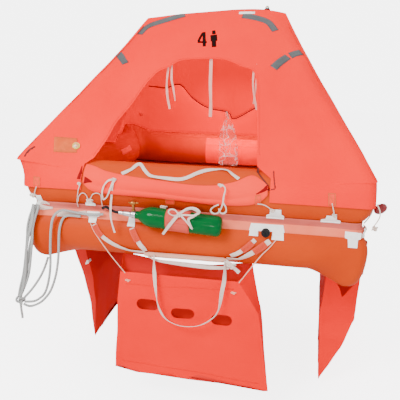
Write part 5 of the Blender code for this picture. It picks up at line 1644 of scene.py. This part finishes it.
TIES = (
    ("tie_left", ((36.6, 186.6), (35.4, 190.4), (34.2, 195.6)), 0.0055, ["canopy_tie_left"]),
    ("tie_right", ((332.0, 203.5), (333.2, 208.6), (334.2, 214.4)), 0.0055, ["canopy_tie_right"]),
    ("tie_door", ((257.4, 203.2), (263.4, 204.4), (268.0, 206.6), (271.6, 209.6)), 0.005, ()),
    ("lacing_left", ((80.6, 184.2), (78.7, 189.0), (77.8, 195.5), (77.4, 201.0), (78.6, 206.4)), 0.0046,
        ["hem_lacing"]),
    ("lacing_middle", ((78.4, 200.4), (79.2, 195.6), (82.4, 192.6), (86.2, 194.2), (88.4, 199.0)), 0.0046, ()),
    ("lacing_right", ((90.4, 198.4), (93.2, 193.8), (97.6, 192.6), (101.0, 195.0), (101.8, 200.8), (102.8, 207.0)),
        0.0046, ()),
)
for name, pixels, diameter, nodes in TIES:
    path = laid(pixels, 0.0045 if "left" in name or "right" in name else 0.005)
    thin_cord(name, path, diameter, nodes=nodes)
KNOTS = (
    ("knot_left", 33.8, 194.4, (0.015, 0.005, 0.009), 0.004),
    ("knot_patch", 90.4, 199.6, (0.014, 0.005, 0.008), 0.0036),
    ("knot_cylinder", 164.0, 206.2, (0.017, 0.005, 0.008), 0.0038),
    ("knot_right", 334.4, 214.6, (0.01, 0.005, 0.007), 0.0034),
    ("knot_middle", 272.6, 209.8, (0.011, 0.005, 0.007), 0.0036),
    ("knot_lacing", 79.6, 183.6, (0.007, 0.004, 0.008), 0.003),
)
for name, px, py, size, radius in KNOTS:
    tied(name, over(px, py, 0.007), size, radius)
WEDGES = (
    ("corner_webbing", ((35.6, 205.4), (40.0, 206.4), (46.0, 207.4), (53.0, 208.2)), 0.032, 0.3),
    ("long_webbing", ((57.4, 213.6), (66.0, 213.8), (76.0, 213.4), (86.5, 212.2)), 0.03, 0.5),
    ("upper_webbing", ((37.5, 200.0), (40.0, 200.8), (43.0, 201.8), (50.0, 204.2)), 0.024, 0.35),
)
for name, pixels, width, least in WEDGES:
    strip_on(
        name, low_surface, pixels, width, white_webbing, lift=0.0012, thickness=0.0018, step=0.008,
        ends=lambda share: 1 - (1 - least) * share
    )
print("tabs, ties and knots:", len(TABS), len(TIES), len(KNOTS))

# %% [markdown]
# ## The boarding ladder
# A padded rung hangs on four webbing straps that come down over the lower tube. Their upper ends are
# sewn into red webbing with a box of stitches. Under the rung hang a sling and the step, a loop of
# webbing for a foot.

# %% Ladder
rung_cloth = webbing_finish("rung_cloth", paint(0.8, 0.4, 0.28), paint(0.5, 0.2, 0.13), rib=0.004, row=0.005)
RUNG = ((-0.228, 0.0362), (-0.12, 0.0366), (-0.02, 0.0382), (0.09, 0.039), (0.188, 0.04))
RUNG_RADIUS = 0.0126
rung = even_run([lower_skin(x, h, 0.013) for x, h in RUNG], 8, 0.006)
shares = [1 + 0.06 * noise.noise(p * 26) + (0.0 if 2 < i < len(rung) - 3 else -0.25) for i, p in enumerate(rung)]
show_tube("ladder_rung_roll", rung, RUNG_RADIUS, 18, rung_cloth, nodes=["ladder_rung"], taper=shares)
HANG = min(p.y for p in rung) - RUNG_RADIUS - 0.0015
STRAPS = (
    ("ladder_strap_left_outer", ((-0.486, 0.174), (-0.452, 0.128), (-0.39, 0.082), (-0.32, 0.054), (-0.229, 0.04)),
        0.022, 0.03, 0.24, 20),
    ("ladder_strap_left_inner", ((-0.292, 0.17), (-0.276, 0.14), (-0.252, 0.098), (-0.232, 0.07), (-0.225, 0.0525)),
        0.024, 0.05, 0.5, -15),
    ("ladder_strap_right_inner", ((0.318, 0.16), (0.285, 0.125), (0.246, 0.092), (0.205, 0.066)), 0.022, 0.12, 0.55,
        12),
    ("ladder_strap_right_outer", ((0.388, 0.16), (0.352, 0.13), (0.3, 0.088), (0.25, 0.058), (0.1875, 0.044)),
        0.026, 0.1, 0.4, -25),
)
for name, spots, width, first, last, turn_by in STRAPS:
    path = even_run([lower_skin(x, h, 0.003) for x, h in spots], 8, 0.006)
    lifted, faces = twisted(path, off_lower, ((0, 0), (0.5, 0), (0.75, turn_by), (1, 0)), width)
    show_strap(name + "_webbing", lifted, width, 0.0022, faces, white_webbing, nodes=[name])
    a, b = int(len(path) * first), int(len(path) * last)
    part = [p + off_lower(p) * 0.0032 for p in path[a:b + 1]]
    show_strap(name + "_red", part, width + 0.009, 0.0026, off_lower, red_webbing)
    zigzag = []
    for i, p in enumerate(part):
        aside = heading(part, i).normalized().cross(off_lower(p)) * (width * 0.4)
        zigzag.append(p + off_lower(p) * 0.0022 + aside * (1 if i % 2 else -1))
    show_tube(name + "_stitches", zigzag, 0.0013, 6, stitch_thread)
STEP = (
    (-0.172, 0.046, 0), (-0.172, 0.02, 0), (-0.17, -0.07, 0), (-0.158, -0.171, 0.002), (-0.142, -0.24, 0.003),
    (-0.105, -0.295, 0.004), (-0.03, -0.322, 0.005), (0.06, -0.312, 0.005), (0.125, -0.27, 0.004),
    (0.16, -0.215, 0.003), (0.172, -0.12, 0.002), (0.18, -0.06, 0), (0.182, 0.02, 0), (0.182, 0.05, 0),
)
path = even_run([(x, HANG - 0.0035 - out, up(h)) for x, h, out in STEP], 8, 0.008)
STEP_TURNS = (
    (0, 60), (0.04, 60), (0.11, 5), (0.18, 30), (0.25, 72), (0.33, 40), (0.42, 60), (0.5, 66), (0.62, 58),
    (0.72, 72), (0.8, 28), (0.87, 5), (0.94, 60), (1, 60)
)
draped_ribbon("ladder_step_loop", path, 0.02, STEP_TURNS, to_front, 0.0028, ["ladder_step"], white_webbing)
top = ((147.0, 255.2), (157.0, 259.0), (172.0, 260.8), (190.0, 262.8), (210.0, 265.4), (229.0, 266.4))
low = ((148.5, 257.0), (158.5, 261.2), (172.0, 263.9), (190.0, 266.6), (210.0, 268.8), (229.0, 268.8))
upper_run = even_run([on_plane_y(px, py, HANG + 0.006) for px, py in top], 6, 0.01)
lower_run = smooth_path([on_plane_y(px, py, HANG - 0.002) for px, py in low], 12)
rows = []
for i, point in enumerate(upper_run):
    share = i / (len(upper_run) - 1)
    other = lower_run[round(share * (len(lower_run) - 1))]
    bellies = [-0.004 * sin(pi * k / 8) - 0.001 * sin(9 * share + k) for k in range(9)]
    rows.append([point.lerp(other, k / 8) + Vector((0, bellies[k], 0)) for k in range(9)])
thicken(show("ladder_sling", sheet_mesh("ladder_sling", rows), ribbon_weave), 0.0018, -1)
show_tube("ladder_sling_edge", evenly(lower_run, 0.008), 0.003, 8, white_webbing)
tied("ladder_knot", on_plane_y(231.2, 265.6, HANG - 0.01), (0.021, 0.006, 0.014), 0.0052)
tail = ((226.0, 260.8), (230.0, 264.4), (234.6, 268.4), (239.2, 272.6))
tail = [on_plane_y(px, py, HANG - 0.014) for px, py in tail]
draped_ribbon("ladder_knot_tail", even_run(tail, 6, 0.005), 0.018, ((0, 0), (0.5, 25), (1, -15)), thickness=0.002)
print("ladder: hangs at y", round(HANG, 4))

# %% [markdown]
# ## Small fittings
# The valve's cap is a ribbed black plug. The quoit is the red grip on the rescue line: an oval plug
# turned round its long axis and then pressed flatter, hung on a thin cord. A brown webbing loop hangs at
# the right side.

# %% Cap, quoit and side loop
cap_at = Vector((0.365, -0.8404, up(0.198)))
profile = [
    (0.0, -0.004), (0.0205, -0.004), (0.0212, 0.001), (0.0212, 0.008), (0.02, 0.0098), (0.0188, 0.0105),
    (0.0188, 0.0185), (0.0176, 0.02), (0.013, 0.0208), (0.012, 0.0222), (0.0085, 0.0222), (0.0075, 0.0196),
    (0.0, 0.0194)
]
cap = spun("valve_cap_body", profile, cap_at, (0, -1, 0), black_rubber, ["valve_cap"], steps=48)
for vertex in cap.data.vertices:
    reach = vertex.co - cap_at
    if abs(reach.y) > 0.01 and hypot(reach.x, reach.z) > 0.016:
        grip = 1 + 0.035 * cos(12 * atan2(reach.z, reach.x))
        vertex.co.x, vertex.co.z = cap_at.x + reach.x * grip, cap_at.z + reach.z * grip
low_corner, high_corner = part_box("quoit")
quoit_at = (Vector(low_corner) + Vector(high_corner)) / 2
long_way = Matrix.Rotation(radians(-34), 3, "Y") @ Vector((1, 0, 0))
QUOIT_HALF, QUOIT_ROUND, QUOIT_TIP = 0.033, 0.0243, 0.0328
GROOVE_AT, GROOVE_WIDE, GROOVE_DEEP = 0.008, 0.0018, 0.0011
profile = [(0.0, -QUOIT_TIP)]
for k in range(1, 24):
    t = -QUOIT_TIP + 2 * QUOIT_TIP * k / 24
    grooves = [GROOVE_DEEP * exp(-((t - at) / GROOVE_WIDE) ** 2) for at in (GROOVE_AT, -GROOVE_AT)]
    profile.append((QUOIT_ROUND * sqrt(1 - (t / QUOIT_HALF) ** 2) - sum(grooves), t))
profile.append((0.0, QUOIT_TIP))
quoit = spun("quoit_body", profile, quoit_at, long_way, red_plastic, ["quoit"], steps=40)
for vertex in quoit.data.vertices:
    vertex.co.y = quoit_at.y + (vertex.co.y - quoit_at.y) * 0.61
low_corner, high_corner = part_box("quoit_cord")
cord_y = (low_corner[1] + high_corner[1]) / 2
stops = [(low_corner[0] + 0.018, cord_y, high_corner[2] - 0.004)] + [
    (x, cord_y, up(h)) for x, h in ((0.8665, 0.372), (0.873, 0.34), (0.868, 0.3), (0.855, 0.268), (0.8365, 0.24))
]
thin_cord("quoit_line", even_run(stops, 8, 0.006), 0.006, nodes=["quoit_cord"], sides=10)


def half_right(point):
    return Vector((0.25, -1, 0))


path = [
    Vector((0.869 + 0.004 * sin(pi * k / 24), -0.6 + 0.006 * sin(k / 5), up(0.13 - 0.195 * k / 24)))
    for k in range(25)
]
draped_ribbon(
    "side_loop", path, 0.03, ((0, 70), (0.2, 12), (0.5, -8), (0.8, 14), (1, 4)), half_right, thickness=0.002,
    nodes=["side_webbing"], finish=brown_webbing
)
end = path[-1] + Vector((0.001, 0.012, 0.004))
back = [end + Vector((0.004 * sin(k / 4), 0.0, 0.15 * k / 20)) for k in range(21)]
draped_ribbon(
    "side_loop_back", back, 0.024, ((0, 10), (0.5, 25), (1, 0)), half_right, thickness=0.002, finish=brown_webbing
)
print("quoit at", [round(v, 3) for v in quoit_at])


# %% [markdown]
# ## Inside the tent
# Daylight comes through the tent's cloth and colours everything in it red. A soft red light under the
# ridge stands for it, and the lining cloth of the arch, the curtain and the wall pocket glows red as
# painted light. The arch is an inflated tube sleeved in the tent's cloth. A curtain is rolled up
# behind it, ribbons hang from the front panel, and a clear bag hangs before a cloth pocket.

# %% Light through the cloth
CLOTH_TINT = (1.0, 0.24, 0.12)
soft_light("cloth_glow", (0.02, 0.2, 0.8), (0.05, 0.8, 0.2), 0.3, 9.0, CLOTH_TINT)
soft_light("cloth_glow_low", (0.02, 0.05, 0.3), (0.05, 0.8, 0.14), 0.2, 2.2, CLOTH_TINT)

# %% Arch
ARCH_RADIUS, ARCH_COVER, ARCH_FOOT = 0.055, 0.069, 0.7


def arch_leg(side):
    end = ridge_half(side)
    top_x, top = end + 0.045, ridge_height(side * end) - shoulder_drop(side * end)
    angle = radians(52)
    low_x, low = TUBE_LINE + TUBE_RADIUS * cos(angle), 3 * TUBE_RADIUS + 0.0004 + TUBE_RADIUS * sin(angle)
    foot = 4 * TUBE_RADIUS + 0.0004
    points = [(ARCH_FOOT, foot + 0.001), (ARCH_FOOT, foot + 0.014)]
    points += [
        (top_x + (low_x - top_x) * (top - h) / (top - low) - ARCH_COVER * 1.14, h) for h in (0.6, 0.76, 0.92, 1.06)
    ]
    return [Vector((side * x, 0, up(h))) for x, h in points]


crown = [
    Vector((x, 0, up(ridge_height(x) - ARCH_COVER - 0.7 * (shoulder_drop(x) - 0.032))))
    for x in (-0.36, -0.28, -0.14, 0, 0.13, 0.25, 0.33)
]
path = even_run(arch_leg(-1) + crown + list(reversed(arch_leg(1))), 6, 0.02)
shares = [1 - 0.012 * abs(sin(i * 0.9)) + (0 if 1 < i < len(path) - 2 else -0.04) for i in range(len(path))]
show_tube("arch_sleeve", path, ARCH_RADIUS - 0.0006, 32, lining_painted_glow, ["arch_tube"], shares)

# %% Curtain
LOWER_EDGE = (
    (-0.408, 0.843), (-0.36, 0.84), (-0.296, 0.837), (-0.231, 0.86), (-0.191, 0.846), (-0.128, 0.78), (-0.034, 0.727),
    (0.093, 0.703), (0.132, 0.665), (0.251, 0.733), (0.3, 0.75),
)
edge = smooth_path([(x, 0, h) for x, h in LOWER_EDGE], 6)
rows = []
for i, spot in enumerate(edge):
    top = ridge_height(spot.x) - ARCH_COVER - 0.07 * max(0.0, min(1.0, (-0.36 - spot.x) / 0.05))
    row = []
    for k in range(25):
        share = k / 24
        h = spot.z + (top - spot.z) * share
        fold = 0.006 * noise.noise(Vector((spot.x * 7 + h * 3, h * 2.5, 4.0)))
        fold += 0.003 * sin(spot.x * 60 + h * 14) * (1 - share)
        row.append(Vector((spot.x, -0.0572 - abs(fold) * (1 - share**3), up(h))))
    rows.append(row)
mesh = sheet_mesh("curtain_cloth", rows)
curtain = show("curtain_cloth", mesh, lining_painted_glow, ["inner_curtain"])
thicken(curtain, 0.001, -1)
binding = evenly([Vector((p.x, -0.059, up(p.z))) for p in edge], 0.01)
show_tube("curtain_binding", binding, 0.0032, 8, dark_thread)

# %% Ribbons in the tent
# The ribbons in the tent are pale webbing; their pink is painted light, the red daylight through the cloth.
ribbon_painted_red_light = webbing_finish(
    "ribbon_painted_red_light", paint(0.98, 0.5, 0.42), paint(0.72, 0.22, 0.16), rib=0.0016, row=0.0018, bump=0.25
)
HANGING = (
    ("inner_left_a", (168.6, 166.8, 167.8, 169.8), (67, 84, 98, 109.0), -0.32, 0.014,
        ((0, 0), (0.4, 40), (0.7, -30), (1, 20)), "inner_ribbon_left"),
    ("inner_left_b", (172.0, 171.6, 173.6, 175.2), (66.5, 78, 90, 101.0), -0.319, 0.012,
        ((0, 30), (0.5, -20), (1, 50)), None),
    ("inner_middle", (211.0, 210.4, 210.8, 210.4), (65, 84, 102, 117.0), -0.285, 0.019,
        ((0, 10), (0.4, 0), (0.7, 25), (1, -10)), "inner_ribbon_middle"),
    ("inner_right_a", (254.0, 253.0, 254.6, 256.8), (70, 84, 98, 110.0), -0.321, 0.013, ((0, 0), (0.5, 45), (1, 0)),
        "inner_ribbon_right"),
    ("inner_right_b", (257.0, 256.6, 255.0, 253.6), (69.5, 80, 92, 104.0), -0.3195, 0.012,
        ((0, -30), (0.5, 20), (1, -30)), None),
)
inside = surface_of(tent)
for name, across, down, y, width, table, node in HANGING:
    stops = [on_plane_y(px, py, y) for px, py in zip(across, down)]
    above, _, _, _ = inside.ray_cast(stops[0] - Vector((0, 0, 0.05)), Vector((0, 0, 1)), 0.3)
    if above is not None:
        stops[0] = Vector((stops[0].x, y, above.z - 0.0006))
    draped_ribbon(name, even_run(stops, 8, 0.008), width, table, nodes=[node] if node else (), finish=ribbon_painted_red_light)
print("ribbons in the tent:", len(HANGING))

# %% Kit bag
def clear_film(name, tint):
    made, tree, shader = begin(name, 0.16, 0.0, 0.6)
    where = add(tree, "TexCoord").outputs["Object"]
    bent = add(tree, "TexNoise", links={"Vector": where, "Scale": 14.0, "Detail": 3.0})
    moved = add(
        tree, "VectorMath", operation="MULTIPLY_ADD", links={0: bent.outputs[1], 1: (0.09, 0.09, 0.09), 2: where}
    )
    creases = add(tree, "TexVoronoi", feature="DISTANCE_TO_EDGE", links={"Vector": moved.outputs[0], "Scale": 13.0})
    # The creases are painted white and made more opaque: painted highlights along the crinkles of the film.
    share = add(tree, "MapRange", links={0: creases.outputs[0], 1: 0.034, 2: 0.0}).outputs[0]
    tree.links.new(mix_colour(tree, share, tint, paint(1.0, 0.93, 0.9)), shader.inputs["Base Color"])
    tree.links.new(math_node(tree, "MULTIPLY_ADD", share, 0.8, 0.14, clamp=True), shader.inputs["Alpha"])
    emboss(tree, shader, creases.outputs[0], 0.6, 0.006)
    return made


bag_film = clear_film("bag_film", paint(0.95, 0.3, 0.22))
BAG = (
    (0.7026, 0.086, 0.006, 0.004), (0.69, 0.089, 0.007, 0.005), (0.672, 0.094, 0.011, 0.009),
    (0.645, 0.096, 0.024, 0.013), (0.62, 0.098, 0.036, 0.016), (0.58, 0.1, 0.048, 0.018),
    (0.54, 0.101, 0.056, 0.02), (0.49, 0.104, 0.06, 0.021), (0.44, 0.106, 0.062, 0.02), (0.41, 0.108, 0.062, 0.017),
    (0.39, 0.11, 0.06, 0.013), (0.378, 0.111, 0.052, 0.006),
)
BAG_BACK, BAG_DEPTH = -0.0574, 0.0215
fine = smooth_path([Vector((x, half_x, half_y)) for _, x, half_x, half_y in BAG], 5)
levels = smooth_path([Vector((h, 0, 0)) for h, _, _, _ in BAG], 5)
rows = []
for level, (x, half_x, half_y) in zip(levels, fine):
    row = []
    for k in range(64):
        t = 2 * pi * k / 64
        point = Vector((x + half_x * cos(t), BAG_BACK - BAG_DEPTH + half_y * sin(t) * 0.98, up(level.x)))
        crease = 0.0035 * (abs(noise.noise(point * 42)) - 0.25) + 0.0015 * sin(14 * t + level.x * 30)
        row.append(point + Vector((cos(t), sin(t) * 0.8, 0)) * crease)
    rows.append(row)
show(
    "kit_bag_film", grid_mesh("kit_bag_film", rows, wrap_rows=True, caps=True), bag_film, ["kit_bag"],
    angle=80
)
drawn = [on_plane_y(px, py, -0.07) for px, py in ((226.6, 111.6), (228.0, 115.4), (228.6, 119.0))]
show_tube("kit_bag_neck", even_run(drawn, 6, 0.004), 0.0042, 10, ribbon_weave)

# %% Cloth pocket and tabs
pocket_seam = webbing_finish("pocket_seam", paint(0.95, 0.1, 0.07), paint(0.7, 0.03, 0.02), rib=0.002, row=0.002)


def rear_tube(x, angle, out):
    reach = TUBE_RADIUS + 0.0012 + out
    return Vector((x, TUBE_LINE - reach * cos(radians(angle)), UPPER_Z + reach * sin(radians(angle))))


WALL_LEFT, WALL_WIDTH, COMPARTMENT = -0.124, 0.414, 0.138
WALL_FOOT, WALL_TURN = -54, 104


def pocket_puff(x, share):
    """How far the pocket's three compartments stand out from the tube."""
    return 0.006 * sin(share) * (0.35 + abs(sin(pi * (x - WALL_LEFT) / COMPARTMENT)))


rows = []
for i in range(29):
    angle = WALL_FOOT + WALL_TURN * i / 28
    row = []
    for k in range(43):
        x = WALL_LEFT + WALL_WIDTH * k / 42
        puff = pocket_puff(x, pi * i / 28) + 0.003 * noise.noise(Vector((x * 11, angle * 0.05, 5)))
        row.append(rear_tube(x, angle, max(0.0008, puff)))
    rows.append(row)
mesh = sheet_mesh("wall_pocket_cloth", rows)
thicken(show("wall_pocket_cloth", mesh, lining_painted_glow, ["wall_pocket"]), 0.0012, 1)
runs = [[(WALL_LEFT + WALL_WIDTH * k / 20, angle) for k in range(21)] for angle in (48, 22)]
runs += [[(x, -50 + 98 * k / 20) for k in range(21)] for x in (0.014, 0.152, -0.122, 0.288)]
for number, run in enumerate(runs, start=1):
    line = []
    for x, angle in run:
        puff = pocket_puff(x, pi * (angle - WALL_FOOT) / WALL_TURN)
        line.append(rear_tube(x, angle, 0.002 + puff + 0.002))
    facing = [(p - Vector((p.x, TUBE_LINE, UPPER_Z))).normalized() for p in line]
    show_strap(f"wall_pocket_seam_{number}", line, 0.009, 0.0012, facing, pocket_cloth)
INNER_TABS = (
    ("inner_tab_low", ((121.6, 152.6), (126.0, 150.6), (130.8, 147.4)), 0.04),
    ("inner_tab_high", ((139.6, 114.6), (141.4, 114.4), (143.2, 114.2)), 0.03),
    ("inner_tab_edge", ((110.4, 138.6), (112.4, 134.0), (114.6, 128.8)), 0.03),
)
cabin_surface = surface_of(tent, upper_tube)
for name, pixels, width in INNER_TABS:
    strip_on(name, cabin_surface, pixels, width, pocket_seam, lift=0.002, thickness=0.001)
print("pocket in the tent made")

# %% [markdown]
# ## Lamps
# A lamp sits on the ridge, on a black base with a grey collar. A smaller one is on the front panel.

# %% Lamps
low_corner, high_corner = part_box("top_lamp")
lamp_at = Vector(((low_corner[0] + high_corner[0]) / 2, (low_corner[1] + high_corner[1]) / 2, low_corner[2]))
spot, facing = at_pixel(tent_surface, 76.2, 146.2)
on_ridge, on_panel = (lamp_at, (0, 0, 1)), (spot + facing * 0.0006, facing)
LAMP_PARTS = (
    ("lamp_base", on_ridge, black_rubber, "cap_black", ["top_lamp"], 36, (
        (0.0, 0.0), (0.0165, 0.0), (0.0172, 0.002), (0.0172, 0.006), (0.016, 0.0085), (0.012, 0.0105), (0.0, 0.0105),
    )),
    ("lamp_collar", on_ridge, silver, "head_silver", (), 32, (
        (0.0, 0.0105), (0.0112, 0.0105), (0.0118, 0.0125), (0.0118, 0.0185), (0.0108, 0.0205), (0.0, 0.0205),
    )),
    ("lamp_dome", on_ridge, lamp_plastic, "lamp_yellow", (), 28, (
        (0.0, 0.0206), (0.0078, 0.0206), (0.008, 0.0222), (0.007, 0.0248), (0.0045, 0.0264), (0.0, 0.027),
    )),
    ("small_lamp_base", on_panel, lamp_plastic, "lamp_yellow", ["side_lamp"], 36, (
        (0.0, 0.0), (0.0188, 0.0), (0.0192, 0.002), (0.0188, 0.0055), (0.016, 0.007), (0.0, 0.007),
    )),
    ("small_lamp_dome", on_panel, bag_film, "lamp_yellow", (), 32, (
        (0.0, 0.0071), (0.0135, 0.0071), (0.0138, 0.012), (0.0128, 0.017), (0.01, 0.02), (0.006, 0.0222),
        (0.0, 0.023),
    )),
)
for name, (place, axis), finish, slot, nodes, steps, profile in LAMP_PARTS:
    spun(name, profile, place, axis, finish, nodes, steps)
print("lamps made")


# %% [markdown]
# ## Last seams
# The tent's panels are sewn together along its four hips, the pocket's hem is turned over and
# stitched, and cords are sewn on with a few turns of pale thread. Dark strips of painted shade fill
# the gaps at both ends of the door.

# %% Hip seams
seam_cloth = cloth_finish(
    "seam_cloth", paint(0.8, 0.004, 0.001), paint(0.86, 0.01, 0.003), paint(0.6, 0.008, 0.003), rough=0.6,
    patch=8.0, bump=0.4, specular=0.04
)
for side in range(4):
    line = smooth_path(tent_profile((side, 1, 45))[1:9], 8)
    run, facing = [], []
    for point in evenly(line, 0.016):
        spot, normal, _, _ = tent_surface.find_nearest(point)
        outward = Vector((point.x, point.y, 0.6)).normalized()
        if normal.dot(outward) < 0:
            normal = -normal
        run.append(spot + outward * 0.0012)
        facing.append(outward)
    show_strap(f"hip_seam_{side + 1}", run, 0.012, 0.0014, facing, seam_cloth)
print("hip seams: 4")

# %% Pocket hem, stitched ends and gaps
pocket_surface = surface_of(bpy.data.objects["pocket_front_cloth"])
left_pocket = surface_of(bpy.data.objects["pocket_left_cloth"])
pale_thread = webbing_finish("pale_thread", paint(0.95, 0.5, 0.36), paint(0.7, 0.22, 0.14), rib=0.001, row=0.001)
# Dark strips laid in the gaps at the door's ends: painted shade.
gap_painted_shade = cloth_finish(
    "gap_painted_shade", paint(0.2, 0.002, 0.004), paint(0.24, 0.004, 0.006), paint(0.14, 0.003, 0.004), rough=0.7,
    patch=20.0, bump=0.3, specular=0.03
)
HEMS = (
    ((126.0, 283.5), (150.0, 285.5), (178.0, 287.0), (206.0, 288.5), (234.0, 289.0)),
    ((122.0, 360.0), (150.0, 364.5), (185.0, 370.0), (225.0, 377.5), (258.0, 383.5)),
)
for number, pixels in enumerate(HEMS, start=1):
    strip_on(
        f"pocket_hem_{number}", pocket_surface, pixels, 0.004, seam_cloth, thickness=0.001, lanes=2
    )
for name, px, py in (("sewn_left", 128.0, 280.0), ("sewn_right", 233.6, 292.6)):
    tied(name, at_pixel(pocket_surface, px, py, 0.004)[0], (0.014, 0.003, 0.006), 0.0022, pale_thread)
GAPS = (
    ("gap_left", ((92.0, 181.8), (88.0, 180.6), (84.2, 180.0)), 0.034),
    ("gap_left_fold", ((82.2, 166.0), (80.8, 172.0), (79.0, 179.0)), 0.022),
    ("gap_right", ((256.0, 194.2), (262.0, 191.2), (268.6, 187.2)), 0.022),
)
for name, pixels, width in GAPS:
    strip_on(
        name, front_surface, pixels, width, gap_painted_shade, lift=0.0008, step=0.006,
        ends=lambda share: 0.12 + 0.88 * share
    )
leaf = ((85.6, 264.2), (88.2, 261.4), (90.8, 258.6))
strip_on(
    "pocket_tab", left_pocket, leaf, 0.022, patch_rubber, lift=0.001, thickness=0.001, step=0.006,
    ends=lambda share: 0.15 + 0.85 * sin(pi * share)
)
print("seams and gaps made")

# %% Ridge tape and corner line
ridge = ((239.0, 13.2), (247.0, 12.9), (255.0, 13.0))
strip_on("ridge_tape", tent_surface, ridge, 0.02, patch_rubber, lift=0.0008, thickness=0.001)
corner = [
    (0.856, -0.842, 0.372), (0.87, -0.846, 0.345), (0.874, -0.846, 0.318), (0.866, -0.845, 0.292),
    (0.854, -0.842, 0.268), (0.848, -0.838, 0.246)
]
path = even_run(raised(corner), 6, 0.006)
thin_cord("corner_line", path, 0.0055)
tied("corner_knot", Vector((0.86, -0.843, up(0.258))), (0.011, 0.007, 0.01), 0.0038)
print("corner line and ridge tape made")
